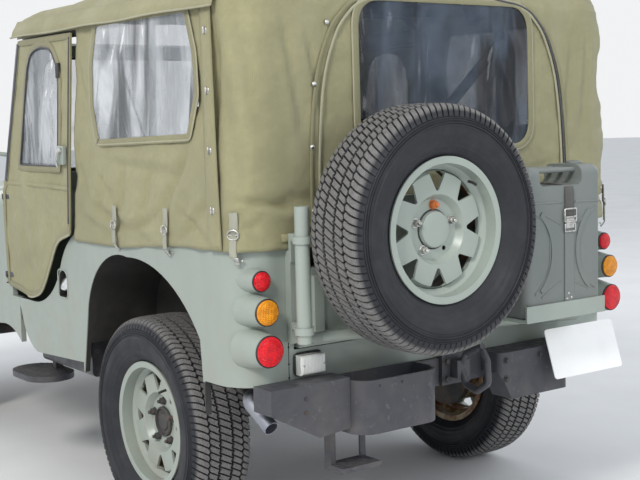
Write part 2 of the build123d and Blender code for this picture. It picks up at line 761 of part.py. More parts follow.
def hinge_post():
    """Channel post on the left rear corner with the two arms whose rings hold the gate's pivot tube."""
    x, y = GATE_HINGE
    post = block(POST_X, (REAR_Y + 0.2, REAR_Y + 26), (704, HEM_Z - 2))
    post += block(POST_X, (CANVAS_REAR_Y + 1, CANVAS_REAR_Y + 13), (940, GATE_ARMS_Z[1][1]))
    for low, high in GATE_ARMS_Z:
        post += block(POST_X, (CANVAS_REAR_Y + 1, y - 35), (low, high))
        post += block((POST_X[1] - 7, x), (y - 50, y), (low, high))
        post += rod((x, y, low), (x, y, high), 27)
        post -= rod((x, y, low - 5), (x, y, high + 5), 21 + PIN_GAP)
    return post


def spare_carrier():
    """Tube frame of the swing gate, with the plate that holds the spare wheel and the can's holder."""
    x, y = GATE_HINGE
    face = GATE_Y[1] + 8.2
    tube_y = 1593
    frame = rod((x, y, 722), (x, y, 1105), 21)
    frame += bent_tube([(x, y, 730), (567, tube_y, 722), (-511, tube_y, 661)], 16, 40)
    arms = [
        # x, underside, top
        (-350, 668, 700),
        (210, 694, 716),
        (490, 706, 728),
    ]
    for arm_x, low, high in arms:
        frame += block((arm_x - 15, arm_x + 15), (face, tube_y), (low, high))
    for post_x in (SPARE_X - 85, SPARE_X + 85):
        frame += block((post_x - 20, post_x + 20), (face, tube_y), (712, 1110))
    frame += block((SPARE_X - 105, SPARE_X + 105), (tube_y, tube_y + 8), (940, 1110))
    # Hub tube of the spare wheel, up to its disc
    frame += rod((SPARE_X, tube_y + 4, SPARE_Z), (SPARE_X, SPARE_DISC_Y - 0.2, SPARE_Z), 60)
    # Holder of the fuel can: shelf, lip and back plate
    shelf_x = (CAN_X[0] - 6, CAN_X[1] + 6)
    frame += block(shelf_x, (face, CAN_Y[1] + 8), (CAN_Z[0] - 12, CAN_Z[0] - 1))
    frame += block(shelf_x, (CAN_Y[1] + 1, CAN_Y[1] + 8), (CAN_Z[0] - 12, CAN_Z[0] + 40))
    frame += block((CAN_X[0] + 60, CAN_X[1] - 60), (face, CAN_Y[0] - 1), (880, 960))
    return frame


def fuel_can():
    """Pressed steel can: raised shoulders with the handle recess between them, three bars and bowed ribs."""
    can = block(CAN_X, CAN_Y, CAN_Z)
    can = fillet(can.edges().filter_by(Axis.Z), 28)
    can = fillet(can.edges().filter_by(Axis.Y).group_by(Axis.Z)[-1], 30)
    recess_x = (CAN_X[0] + 95, CAN_X[1] - 60)
    recess = block(recess_x, (CAN_Y[0] - 5, CAN_Y[1] + 5), (CAN_Z[1] - 62, CAN_Z[1] + 5))
    can -= fillet(recess.edges().filter_by(Axis.Y).group_by(Axis.Z)[0], 20)
    middle = sum(CAN_Y) / 2
    for y in (middle - 45, middle, middle + 45):
        can += rod((recess_x[0] - 4, y, CAN_Z[1] - 16), (recess_x[1] + 4, y, CAN_Z[1] - 16), 8)
    # Two bowed ribs pressed outwards on the rear face
    centre_x = sum(CAN_X) / 2
    centre_z = CAN_Z[0] + 200
    for side in (-1, 1):
        ends = (centre_x + side * 110, centre_z - 120), (centre_x + side * 110, centre_z + 120)
        rib_line = ThreePointArc(ends[0], (centre_x + side * 55, centre_z), ends[1])
        rib = trace(rib_line, 16)
        plane = Plane(origin=(0, CAN_Y[1] + 4, 0), x_dir=(1, 0, 0), z_dir=(0, -1, 0))
        can += extrude(plane * rib, amount=10)
    return can


def tyre():
    """Road tyre about the X axis at the origin, from a profile of straight runs."""
    half = TYRE_W / 2
    bead = RIM_R - 11.5
    outer_half = [
        # distance from the middle, radius
        (73, bead),
        (73.5, RIM_R + 3),
        (half - 8, 240),
        (half, 278),
        (half - 5, 324),
        (half - 20, 349),
        (62, TYRE_R),
    ]
    profile = [*outer_half, *[(-x, r) for x, r in reversed(outer_half)]]
    return revolve(make_face(Polyline(*profile, close=True)), axis=Axis.X)


def rim():
    """Steel disc wheel about the X axis at the origin, outside towards +X, with eight windows."""
    half = RIM_W / 2
    outer_half = [
        # distance from the middle, radius; from the well to the flange and back inside it
        (half - 55, RIM_R - 38),
        (half - 40, RIM_R - 21),
        (half - 1, RIM_R - 20),
        (half, RIM_R - 5),
        (half, RIM_R),
        (half - 6, RIM_R),
        (half - 8.5, RIM_R - 12),
        (half - 42, RIM_R - 13),
        (half - 56, RIM_R - 30),
    ]
    inner = outer_half[:4]
    outer = outer_half[4:]
    profile = [*inner, *outer]
    profile += [(-x, r) for x, r in reversed(profile)]
    barrel = revolve(make_face(Polyline(*profile, close=True)), axis=Axis.X)
    front = [
        # station along the axle, radius
        (DISC_CENTRE, 0),
        (DISC_CENTRE, 90),
        (DISC_FACE, 104),
        (DISC_FACE, 158),
        (8, RIM_R - 36),
    ]
    back = [
        (16, RIM_R - 36),
        (DISC_FACE + DISC_T, 161),
        (DISC_FACE + DISC_T, 100),
        (DISC_CENTRE + DISC_T, 86),
        (DISC_CENTRE + DISC_T, 0),
    ]
    disc = revolve(make_face(Polyline(*front, *back, close=True)), axis=Axis.X)
    window = fillet(make_face(Polyline((-27, -33), (-27, 33), (36, 0), close=True)).vertices(), 7)
    hole = Pos(0, 0, 138) * Rot(0, 90, 0) * extrude(window, amount=200, both=True)
    for index in range(8):
        disc -= Rot(index * 45, 0, 0) * hole
    for index in range(5):
        disc -= Rot(index * 72, 0, 0) * rod((0, 0, BOLT_CIRCLE / 2), (40, 0, BOLT_CIRCLE / 2), BOLT_R)
    return barrel + disc


def drum():
    """Brake drum behind the disc, with the blind bore that runs on the spindle."""
    shell = rod((-50, 0, 0), (DISC_CENTRE, 0, 0), 132)
    return shell - rod((-90, 0, 0), (-12, 0, 0), SPINDLE_R + PIN_GAP)


def placed_wheel(side, y):
    """Rim with its drum, and tyre, at one corner of the car."""
    turn = Rot(0, 0, 0) if side > 0 else Rot(0, 0, 180)
    place = Pos(side * WHEEL_X, y, AXLE_Z) * turn
    return place * (rim() + drum()), place * tyre()


def spare_wheel():
    """Rim and tyre on the swing gate, outside face to the rear."""
    place = Pos(SPARE_X, SPARE_OUT_Y - RIM_W / 2, SPARE_Z) * Rot(0, 0, 90)
    return place * rim(), place * tyre()


def knuckle():
    """Left steering knuckle: king pin, backing plate and spindle."""
    y = FRONT_AXLE_Y
    part = Pos(KING_PIN_X, y, AXLE_Z) * Sphere(38)
    part += rod((KING_PIN_X, y, AXLE_Z - 76), (KING_PIN_X, y, AXLE_Z + 76), 14)
    part += rod((KING_PIN_X, y, AXLE_Z), (602, y, AXLE_Z), 34)
    part += rod((596, y, AXLE_Z), (602, y, AXLE_Z), 130)
    return part + rod((600, y, AXLE_Z), (642, y, AXLE_Z), SPINDLE_R)




def rear_bumperettes():
    """Chamfered box, bent step and rounded box along the rear cross member."""
    front, rear = BUMPERETTE_Y
    t = BUMPERETTE_T
    left_line = [(485, 599), (760, 599), (760, 527), (597, 440), (485, 450)]
    left = along(left_line[0], left_line[1:], BUMPERETTE_Y)
    left -= block((485 + t, 760 - t), (front - 10, rear - t), (400, 599 - t))
    bend = Pos(327, (front + rear) / 2 + 25) * Rectangle(316, rear - front + 50)
    bend = fillet([v for v in bend.vertices() if v.Y > rear], 62)
    step = Pos(0, 0, 431) * extrude(bend - offset(bend, amount=-t, kind=Kind.INTERSECTION), amount=159)
    right_line = [(-440, 585), (-122, 585), (-122, 520), (-172, 431), (-440, 431)]
    right = along(right_line[0], right_line[1:], BUMPERETTE_Y)
    right = fillet(right.edges().filter_by(Axis.Z).group_by(Axis.Y)[-1], 24)
    right_hollow = [
        (t - 440, 585 - t),
        (-122 - t, 585 - t),
        (-122 - t, 520),
        (-172 - t, 421),
        (t - 440, 421),
    ]
    right -= along(right_hollow[0], right_hollow[1:], (front - 10, rear - 30))
    return [left, step, right]


def tow_bolt_holes():
    """Four bolt holes of the towing plate, which go through the cross member too."""
    return [rod((x, CROSS_Y[0] - 20, z), (x, 1570, z), 6.5) for x, z in TOW_BOLTS]


def tow_hook():
    """Towing plate with a jaw block, a bent lower hook and the latch over it."""
    plate = block((-60, 60), (CROSS_Y[1] + 0.2, 1556), (497, 594)) - tow_bolt_holes()
    jaw = block((-26, 26), (1555, 1590), (520, 576))
    route = [(0, 1580, 545), (0, 1600, 500), (0, 1650, 486), (0, 1700, 520), (0, 1696, 590), (0, 1676, 618)]
    hook = bent_tube(route, 11, 18)
    latch = bent_tube([(0, 1580, 560), (0, 1600, 600), (0, 1676, 632)], 10, 18)
    return plate + jaw + hook + latch


def exhaust():
    """Silencer under the floor and a tail pipe that turns down and back behind the left rear wheel."""
    route = [
        (235, -740, 508),
        (235, 1200, 508),
        (235, 1335, 452),
        (440, 1400, 452),
        (600, 1440, 540),
        (724, 1442, 548),
        (716, 1562, 474),
    ]
    pipe = bent_tube(route, EXHAUST_R, 38)
    silencer = rod((235, 330, 508), (235, 700, 508), 58)
    tip = Vector(*route[-1])
    into = (Vector(*route[-2]) - tip).normalized()
    return pipe + silencer - rod(tip - into * 5, tip + into * 60, EXHAUST_R - 3)


def lamp_housings():
    """Tapered pods of the tail lamps on both rear corners."""
    parts = []
    corner = plan_box(HALF_W + 0.2, 0, REAR_Y + 0.2, CORNER_R, (500, 1000))
    for side in (-1, 1):
        for z, radius, face_y in TAIL_LAMPS:
            length = face_y - 10 - 1470
            cone = Rot(-90, 0, 0) * Cone(radius * 1.5, radius + 3, length)
            cone = Pos(side * LAMP_X, 1470 + length / 2, z) * cone
            parts.append(cone - corner)
    return parts


def lamp_lenses():
    """Domed lenses of the tail lamps."""
    parts = []
    for side in (-1, 1):
        for z, radius, face_y in TAIL_LAMPS:
            lens = rod((side * LAMP_X, face_y - 9.9, z), (side * LAMP_X, face_y, z), radius)
            parts.append(fillet(lens.edges().group_by(Axis.Y)[-1], 5))
    return parts


def reversing_lamp():
    """Rectangular clear lamp on the valance below the gate."""
    lamp = block((513, 603), (REAR_Y + 0.1, REAR_Y + 36), (607, 665))
    return fillet(lamp.edges().group_by(Axis.Y)[-1], 8)


def headlamps():
    """Round headlamps with domed glasses."""
    parts = []
    for side in (-1, 1):
        x = side * LAMP_IN_X
        bowl = Pos(x, GRILLE_Y - 2, LAMP_IN_Z) * Rot(90, 0, 0) * Cylinder(84, 60)
        dome = Cone(84, 60, 12, align=(Align.CENTER, Align.CENTER, Align.MIN))
        parts.append(bowl + Pos(x, GRILLE_Y - 32, LAMP_IN_Z) * Rot(90, 0, 0) * dome)
    return parts


def number_plate():
    """Blank plate and its bracket, tilted upwards at the right rear."""
    x, y, z = PLATE_CENTRE
    tilt = radians(18)
    plane = Plane(origin=PLATE_CENTRE, x_dir=(1, 0, 0), z_dir=(0, cos(tilt), sin(tilt)))
    plate = extrude(plane * RectangleRounded(330, 165, 12), amount=3)
    return plate + block((x - 38, x + 42), (BUMPERETTE_Y[1] + 0.2, y - 4), (z - 7, z + 13))


front_left_rim, front_left_tyre = placed_wheel(1, FRONT_AXLE_Y)
front_right_rim, front_right_tyre = placed_wheel(-1, FRONT_AXLE_Y)
rear_left_rim, rear_left_tyre = placed_wheel(1, REAR_AXLE_Y)
rear_right_rim, rear_right_tyre = placed_wheel(-1, REAR_AXLE_Y)
spare_rim, spare_tyre = spare_wheel()
left_door = door_left()
left_film = door_window()
left_knuckle = knuckle()

PARTS = {
    "chassis_frame": chassis_frame(),
    "body_tub": body_tub(),
    "scuttle": cowl(),
    "front_fenders": both_sides(front_fender()),
    "grille": grille(),
    "radiator": radiator(),
    "power_unit": power_unit(),
    "front_bumper": front_bumper(),
    "windshield_frame": windshield_frame(),
    "windshield_glass": windshield_glass(),
    "front_axle": front_axle(),
    "rear_axle": rear_axle(),
    "leaf_springs": leaf_springs(),
    "drive_shafts": drive_shafts(),
    "fuel_tank": fuel_tank(),
    "steps": steps(),
    "seat_frames": seat_frames(),
    "seat_pads": seat_pads(),
    "bench_pads": bench_pads(),
    "steering_column": steering_column(),
    "steering_wheel": steering_wheel(),
    "roll_hoop": roll_hoop(),
    "top_bows": top_bows(),
    "canvas_top": canvas_top(),
    "window_film": window_film(),
    "bonnet": bonnet(),
    "door_left": left_door,
    "door_left_film": left_film,
    "door_right": to_right(left_door),
    "door_right_film": to_right(left_film),
    "hinge_post": hinge_post(),
    "gate_panel": gate_panel(),
    "spare_carrier": spare_carrier(),
    "spare_rim": spare_rim,
    "spare_tyre": spare_tyre,
    "fuel_can": fuel_can(),
    "knuckle_left": left_knuckle,
    "knuckle_right": to_right(left_knuckle),
    "wheel_front_left": front_left_rim,
    "wheel_front_right": front_right_rim,
    "wheel_rear_left": rear_left_rim,
    "wheel_rear_right": rear_right_rim,
    "tyre_front_left": front_left_tyre,
    "tyre_front_right": front_right_tyre,
    "tyre_rear_left": rear_left_tyre,
    "tyre_rear_right": rear_right_tyre,
    "rear_bumperettes": rear_bumperettes(),
    "tow_hook": tow_hook(),
    "exhaust": exhaust(),
    "lamp_housings": lamp_housings(),
    "lamp_lenses": lamp_lenses(),
    "reversing_lamp": reversing_lamp(),
    "headlamps": headlamps(),
    "number_plate": number_plate(),
}

os.makedirs("parts", exist_ok=True)
for name, shape in PARTS.items():
    solids = shape.solids() if not isinstance(shape, list) else [s for part in shape for s in part.solids()]
    export_step(solids[0] if len(solids) == 1 else Compound(children=solids), f"parts/{name}.step")
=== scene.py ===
import json
import math

import bmesh
import bpy
import numpy as np
from mathutils import Matrix, Vector

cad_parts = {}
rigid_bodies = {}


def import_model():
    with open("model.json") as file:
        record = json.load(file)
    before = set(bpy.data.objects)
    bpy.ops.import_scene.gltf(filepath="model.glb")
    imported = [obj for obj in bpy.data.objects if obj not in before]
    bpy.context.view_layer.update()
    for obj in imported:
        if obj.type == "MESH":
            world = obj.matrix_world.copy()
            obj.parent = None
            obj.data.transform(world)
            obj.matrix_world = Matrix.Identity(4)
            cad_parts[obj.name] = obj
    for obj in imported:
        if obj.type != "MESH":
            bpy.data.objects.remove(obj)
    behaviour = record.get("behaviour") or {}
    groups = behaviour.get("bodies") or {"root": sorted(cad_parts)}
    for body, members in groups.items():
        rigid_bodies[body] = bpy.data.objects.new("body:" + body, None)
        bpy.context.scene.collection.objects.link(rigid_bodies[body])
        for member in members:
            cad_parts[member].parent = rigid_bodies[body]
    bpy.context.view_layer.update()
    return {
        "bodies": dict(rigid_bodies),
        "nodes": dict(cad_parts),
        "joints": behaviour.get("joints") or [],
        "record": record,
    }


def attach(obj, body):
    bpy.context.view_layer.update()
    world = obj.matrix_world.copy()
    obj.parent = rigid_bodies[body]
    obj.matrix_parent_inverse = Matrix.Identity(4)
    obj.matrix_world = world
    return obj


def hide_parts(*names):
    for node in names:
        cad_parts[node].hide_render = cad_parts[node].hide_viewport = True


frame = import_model()
NODES = frame["nodes"]

# Driving sizes in metres, the same as the part's own
TYRE_R = 0.356
RIM_OUT_X = 0.74
REAR_AXLE_Y = 0.87
FRONT_AXLE_Y = -1.355
HALF_W = 0.787
REAR_Y = 1.522
TAIL_CORNER_R = 0.125
SPARE_X = 0.299
SPARE_Z = 1.025
SPARE_OUT_Y = 1.852
LAMP_X = 0.722
# Tail lamps: height of the centre, lens radius, place of the lens face
TAIL_LAMPS = ((0.893, 0.027, 1.55), (0.807, 0.036, 1.574), (0.697, 0.043, 1.582))
CAN_X = (-0.44, -0.095)
CAN_Y = (1.612, 1.772)
CAN_Z = (0.715, 1.182)

# Soft top; each row of the side's outline is half width, height. TOP_MIDDLE is a point inside it
TOP_MIDDLE = (0, 0.8, 1.3)
CANVAS_FRONT_Y = 0.021
CANVAS_REAR_Y = 1.54
CANVAS_CORNER_R = 0.13
SIDE_LINE = ((0.8, 0.942), (0.8, 0.985), (0.797, 1.18), (0.782, 1.69))
ROOF_LINE = ((0.757, 1.746), (0.69, 1.779), (0.45, 1.815), (0.0, 1.842))
FRONT_HEM_Z = 0.942
HEM_Z = 0.975
DOOR_REAR_Y = 0.518
ROOF_FLAP_Z = 1.662
ROOF_BREAK_Y = 0.26
ROOF_FRONT_Z = 1.738
BOW_YS = (0.565, 1.000, 1.4)
SIDE_SEAM = ((1.382, 1.684), (1.426, 0.979))


class Finish:
    """One procedural material. Each method adds a node and gives back the socket that carries its result."""

    def __init__(self, name, roughness=0.5, metallic=0.0, **constants):
        """A new material with constants on the shader's sockets, their names written with underscores."""
        self.material = bpy.data.materials.new(name)
        self.material.use_nodes = True
        self.nodes = self.material.node_tree.nodes
        self.links = self.material.node_tree.links
        self.shader = self.nodes["Principled BSDF"]
        self.set("Roughness", roughness)
        self.set("Metallic", metallic)
        for label, value in constants.items():
            self.set(label.replace("_", " "), value)

    def feed(self, socket, value):
        """A constant goes on the socket itself, and a result of other nodes is linked to it."""
        if isinstance(value, bpy.types.NodeSocket):
            self.links.new(value, socket)
        elif socket.type == "RGBA":
            socket.default_value = (*value[:3], 1.0)
        else:
            socket.default_value = value

    def set(self, label, value):
        """Feeds one socket of the shader."""
        self.feed(self.shader.inputs[label], value)

    def node(self, kind, inputs=None, **settings):
        """A new node with its settings and what feeds its named sockets."""
        made = self.nodes.new(kind)
        for label, value in settings.items():
            setattr(made, label, value)
        for label, value in (inputs or {}).items():
            self.feed(made.inputs[label], value)
        return made

    def place(self, scale=(1, 1, 1), turn=(0, 0, 0)):
        """Object coordinates, stretched and turned."""
        source = self.node("ShaderNodeTexCoord").outputs["Object"]
        mapping = self.node("ShaderNodeMapping", {"Vector": source, "Scale": scale, "Rotation": turn})
        return mapping.outputs["Vector"]

    def noise(self, scale, detail=3.0, roughness=0.55, distortion=0.0, at=None):
        """Cloudy noise from 0 to 1."""
        inputs = {"Scale": scale, "Detail": detail, "Roughness": roughness, "Distortion": distortion}
        inputs["Vector"] = at if at is not None else self.place()
        return self.node("ShaderNodeTexNoise", inputs).outputs["Fac"]

    def cells(self, scale, randomness=1.0):
        """Distance to the nearest cell's middle."""
        inputs = {"Vector": self.place(), "Scale": scale, "Randomness": randomness}
        return self.node("ShaderNodeTexVoronoi", inputs, feature="F1").outputs["Distance"]

    def wave(self, scale, at, direction="X"):
        """Even ridges across one direction."""
        inputs = {"Vector": at, "Scale": scale, "Distortion": 0.0, "Detail": 2.0, "Detail Scale": 1.5}
        settings = {"wave_type": "BANDS", "bands_direction": direction, "wave_profile": "SIN"}
        return self.node("ShaderNodeTexWave", inputs, **settings).outputs["Fac"]

    def sum(self, a, b, operation="ADD"):
        """Two values added, or put through another operation."""
        made = self.node("ShaderNodeMath", operation=operation)
        for socket, value in zip(made.inputs, (a, b)):
            self.feed(socket, value)
        return made.outputs["Value"]

    def span(self, value, low, high, to_low=0.0, to_high=1.0):
        """Stretches the range low to high of a value onto another range, and clips it there."""
        inputs = {"Value": value, "From Min": low, "From Max": high, "To Min": to_low, "To Max": to_high}
        return self.node("ShaderNodeMapRange", inputs, clamp=True).outputs["Result"]

    def patchy(self, scale, detail, low, high):
        """Roughness that changes in patches from low to high."""
        self.set("Roughness", self.span(self.noise(scale, detail=detail), 0.3, 0.7, low, high))

    def blend(self, share, first, second):
        """The first colour where the share is 0, and the second where it is 1."""
        made = self.node("ShaderNodeMix", data_type="RGBA")
        for socket, value in zip((made.inputs[0], made.inputs[6], made.inputs[7]), (share, first, second)):
            self.feed(socket, value)
        return made.outputs[2]

    def height(self, axis="Z"):
        """How high, or how far along X or Y, a point is in the car's own frame, in metres."""
        source = self.node("ShaderNodeTexCoord").outputs["Object"]
        return self.node("ShaderNodeSeparateXYZ", {"Vector": source}).outputs[axis]

    def relief(self, *layers):
        """Bump from pairs of (height field, depth in metres), one over the other."""
        normal = None
        for field, depth in layers:
            inputs = {"Height": field, "Distance": depth, "Strength": 1.0}
            if normal is not None:
                inputs["Normal"] = normal
            normal = self.node("ShaderNodeBump", inputs).outputs["Normal"]
        self.set("Normal", normal)


def near(colour, factor):
    """The same hue, lighter or darker."""
    return tuple(min(1.0, channel * factor) for channel in colour)


# Colours of the finishes, as linear red, green and blue
GREY_GREEN = (0.33, 0.375, 0.335)
# Darker green of the fuel can: partly its own paint, partly painted shade
SHADE_GREEN = (0.17, 0.19, 0.18)
OLIVE = (0.345, 0.325, 0.178)
OLIVE_FADED = (0.42, 0.405, 0.27)
DUST = (0.33, 0.29, 0.225)
RUST = (0.21, 0.085, 0.03)
# Near black of soot and coating, partly painted shade where it darkens the tub's inside and the spare's
# barrel
SOOT_AND_SHADE = (0.016, 0.017, 0.019)
RUBBER = (0.022, 0.023, 0.029)
SIGNAL_RED = (0.86, 0.004, 0.016)
AMBER = (0.96, 0.33, 0.006)


def dusty(made, colour, low_z, high_z, share=0.5):
    """Road dust that thickens in patches towards the bottom of the car."""
    patches = made.span(made.noise(9.0, detail=5.0), 0.42, 0.72)
    low = made.span(made.height("Z"), low_z, high_z, share, 0.0)
    return made.blend(made.sum(patches, low, "MULTIPLY"), colour, DUST)


def body_paint(name, colour, roughness=0.42, masked=None):
    """Semi-matt vehicle paint: large faded patches, fine speckle, rain streaks and a dusty lower edge. Where
    masked is given, it takes the finish and gives back a mask and the colour that covers the paint there."""
    made = Finish(name, Coat_Weight=0.18, Coat_Roughness=0.28)
    fade = made.span(made.noise(1.7, detail=4.0), 0.35, 0.7)
    streak = made.span(made.noise(14.0, detail=4.0, at=made.place((1, 1, 0.12))), 0.45, 0.8, 0.0, 0.35)
    painted = made.blend(fade, near(colour, 0.93), near(colour, 1.07))
    painted = made.blend(streak, painted, near(colour, 0.82))
    speckle = made.span(made.noise(420.0, detail=1.0), 0.6, 0.74, 0.0, 0.3)
    painted = made.blend(speckle, painted, near(colour, 0.72))
    painted = dusty(made, painted, 0.45, 0.95, 0.45)
    if masked is not None:
        mask, cover = masked(made)
        painted = made.blend(mask, painted, cover)
    made.set("Base Color", painted)
    made.patchy(26.0, 5.0, roughness - 0.08, roughness + 0.12)
    made.relief((made.noise(300.0, detail=2.0), 0.00012), (made.noise(5.0, detail=2.0), 0.0016))
    return made.material


def tub_paint():
    """Body paint outside, and near black with dried mud wherever the tub's outer skin is left: partly
    stone-chip coating and partly painted shade inside the tub, in its wheel arches and under its rear. The
    mask is the distance inwards from the rounded rectangle of its plan, and all that hangs low at the rear."""
    core_x, core_y = HALF_W - TAIL_CORNER_R, REAR_Y - TAIL_CORNER_R

    def underside(made):
        """Mask and colour of what is inside or under the outer skin."""
        across = made.sum(made.height("X"), 0.0, "ABSOLUTE")
        past_x = made.sum(made.sum(across, core_x, "SUBTRACT"), 0.0, "MAXIMUM")
        past_y = made.sum(made.sum(made.height("Y"), core_y, "SUBTRACT"), 0.0, "MAXIMUM")
        square = made.sum(made.sum(past_x, 2.0, "POWER"), made.sum(past_y, 2.0, "POWER"))
        reach = made.sum(square, 0.5, "POWER")
        inside = made.span(reach, TAIL_CORNER_R - 0.0035, TAIL_CORNER_R - 0.0025, 1.0, 0.0)
        low = made.span(made.height("Z"), 0.578, 0.58, 1.0, 0.0)
        behind_wheel = made.span(made.height("Y"), 1.2, 1.22)
        inside = made.sum(inside, made.sum(low, behind_wheel, "MULTIPLY"), "MAXIMUM")
        # Near black coating with dried mud, partly painted shade inside and under the tub
        return inside, made.blend(made.noise(30.0, detail=5.0), SOOT_AND_SHADE, (0.05, 0.046, 0.04))

    return body_paint("body_tub_paint", GREY_GREEN, masked=underside)


def rim_paint(name, axis, disc, grime_and_shade_colours):
    """Body paint on a wheel's face and flange. Behind the disc, where the distance along the axle is less
    than the disc's, the barrel is darker with soot, rust and pale brake dust, partly as painted shade seen
    through the wheel's windows."""

    def barrel(made):
        """Mask and colour of what lies behind the disc."""
        outwards = made.sum(made.height(axis), 0.0, "ABSOLUTE")
        behind = made.span(outwards, disc - 0.004, disc - 0.003, 1.0, 0.0)
        # Grime colours behind the disc, partly painted shade
        return behind, made.blend(made.span(made.noise(16.0, detail=5.0), 0.46, 0.6), *grime_and_shade_colours)

    return body_paint(name, GREY_GREEN, 0.36, masked=barrel)


def satin_black(name, dust_top=0.75):
    """Satin black paint on bumperettes, frame and hoop, greyed by dust and scuffed in places."""
    made = Finish(name, 0.45, Coat_Weight=0.1)
    scuff = made.span(made.noise(38.0, detail=6.0, roughness=0.7), 0.58, 0.74)
    painted = made.blend(scuff, (0.046, 0.047, 0.057), (0.125, 0.127, 0.145))
    made.set("Base Color", dusty(made, painted, 0.3, dust_top, 0.22))
    made.patchy(20.0, 4.0, 0.36, 0.62)
    made.relief((made.noise(150.0, detail=3.0), 0.0004))
    return made.material


def tread_rubber():
    """Tyre rubber: near black with a bloom of dust and a fine moulded grain. A point attribute is 1 on the
    tops of the tread blocks, which are pale partly from scuffing and dust and partly as painted highlight,
    and 0 down in the grooves."""
    made = Finish("tyre_rubber", 0.55, Specular_IOR_Level=0.32, Coat_Weight=0.06, Coat_Roughness=0.3)
    # Share of the pale tread tops: scuff and dust, partly painted highlight
    paler_share = made.node("ShaderNodeAttribute", attribute_name="paler_share").outputs["Fac"]
    bloom = made.span(made.noise(22.0, detail=6.0, roughness=0.65), 0.46, 0.8, 0.0, 0.5)
    # Pale colour of the tread tops: scuff and dust, partly painted highlight
    scuffed_and_lit_top = made.blend(made.noise(60.0, detail=4.0), (0.12, 0.117, 0.116), (0.23, 0.222, 0.215))
    side = made.blend(bloom, near(RUBBER, 0.8), (0.04, 0.042, 0.048))
    made.set("Base Color", made.blend(paler_share, side, scuffed_and_lit_top))
    made.set("Roughness", made.span(made.noise(9.0, detail=4.0), 0.35, 0.65, 0.42, 0.68))
    sipes = made.sum(made.cells(210.0, randomness=0.7), paler_share, "MULTIPLY")
    moulded, dents = made.noise(520.0, detail=2.0), made.noise(40.0, detail=3.0)
    made.relief((moulded, 0.00025), (dents, 0.0006), (sipes, 0.0035))
    return made.material


def olive_canvas(name, colour=OLIVE):
    """Coated canvas: plain weave of crossed threads, faded high spots, darker damp blotches, soft sheen."""
    made = Finish(name, 0.72, Sheen_Weight=0.12, Sheen_Roughness=0.6)
    blotch = made.span(made.noise(2.3, detail=6.0, roughness=0.6, distortion=0.6), 0.32, 0.72)
    fine = made.span(made.noise(55.0, detail=5.0), 0.35, 0.75, 0.0, 0.45)
    dyed = made.blend(blotch, near(colour, 0.86), near(colour, 1.12))
    dyed = made.blend(fine, dyed, near(colour, 0.78))
    run = made.span(made.noise(5.5, detail=5.0, at=made.place((1, 1, 0.16))), 0.5, 0.78, 0.0, 0.42)
    dyed = made.blend(run, dyed, near(OLIVE_FADED, colour[0] / OLIVE[0]))
    made.set("Base Color", dyed)
    made.patchy(12.0, 3.0, 0.62, 0.84)
    along = made.wave(260.0, made.place((1, 1, 0)), direction="DIAGONAL")
    up = made.wave(260.0, made.place((0, 0, 1)), direction="Z")
    made.relief((made.noise(7.0, detail=3.0, distortion=0.8), 0.006), (made.sum(along, up), 0.00035))
    return made.material


def clear_film(name, deep, milk, low, high):
    """Old clear vinyl: milky patches, long scratches and soft ripples that catch the light."""
    made = Finish(name, 0.12, IOR=1.45, Coat_Weight=0.4, Coat_Roughness=0.06)
    milky = made.noise(4.0, detail=5.0, distortion=1.4, at=made.place((1, 1, 0.5), (0.5, 0, 0)))
    slant = made.place((1, 1, 0.16), (-0.62, 0, 0))
    gleam = made.span(made.noise(5.5, detail=3.0, distortion=0.6, at=slant), 0.54, 0.62)
    film = made.blend(made.span(milky, 0.4, 0.7), deep, milk)
    made.set("Base Color", made.blend(gleam, film, near(deep, 0.28)))
    opaque = made.span(milky, 0.4, 0.78, low, high)
    made.set("Alpha", made.sum(opaque, made.span(gleam, 0.0, 1.0, 0.0, 0.22)))
    made.relief((made.noise(6.0, detail=2.0, distortion=1.5, at=made.place((1, 1, 0.4), (0.6, 0, 0))), 0.03))
    return made.material


def flat_glass():
    """Windshield glass with a faint smear of dust."""
    made = Finish("windshield_glass_pane", 0.03, IOR=1.5, Base_Color=(0.62, 0.7, 0.68))
    made.set("Alpha", made.span(made.noise(8.0, detail=5.0), 0.45, 0.8, 0.16, 0.34))
    return made.material


def lamp_lens(name, colour, pitch):
    """Moulded lamp lens: a clear-coated colour with fine pressed prisms."""
    made = Finish(name, 0.28, Coat_Weight=0.25, Coat_Roughness=0.08, IOR=1.4)
    depth = made.span(made.noise(45.0, detail=2.0), 0.35, 0.65)
    made.set("Base Color", made.blend(depth, near(colour, 0.78), near(colour, 1.12)))
    prisms = made.wave(pitch, made.place((1, 0, 0)), direction="X")
    across = made.wave(pitch, made.place((0, 0, 1)), direction="Z")
    made.relief((made.sum(prisms, across), 0.0012))
    return made.material


def clear_lens():
    """Fluted clear lens: its pale colour is a painted reflection of the bright reflector behind it, striped
    along the flutes as painted shading.
    """
    made = Finish("clear_fluted_lens_painted_reflection", 0.12, Coat_Weight=1.0, Coat_Roughness=0.03, IOR=1.5)
    flutes = made.wave(62.0, made.place((1, 0, 0)), direction="X")
    # Pale colour: painted reflection of the reflector, lighter and darker along the flutes as painted shading
    made.set("Base Color", made.blend(flutes, (0.66, 0.68, 0.64), (0.84, 0.85, 0.82)))
    made.relief((flutes, 0.0009), (made.cells(180.0), 0.0006))
    return made.material


def bright_zinc():
    """Plated hooks, buckles and nuts, dulled in patches."""
    made = Finish("zinc_plated_steel", 0.34, 1.0)
    dull = made.span(made.noise(60.0, detail=5.0), 0.45, 0.7)
    made.set("Base Color", made.blend(dull, (0.62, 0.62, 0.6), (0.3, 0.29, 0.27)))
    made.patchy(90.0, 3.0, 0.24, 0.54)
    return made.material


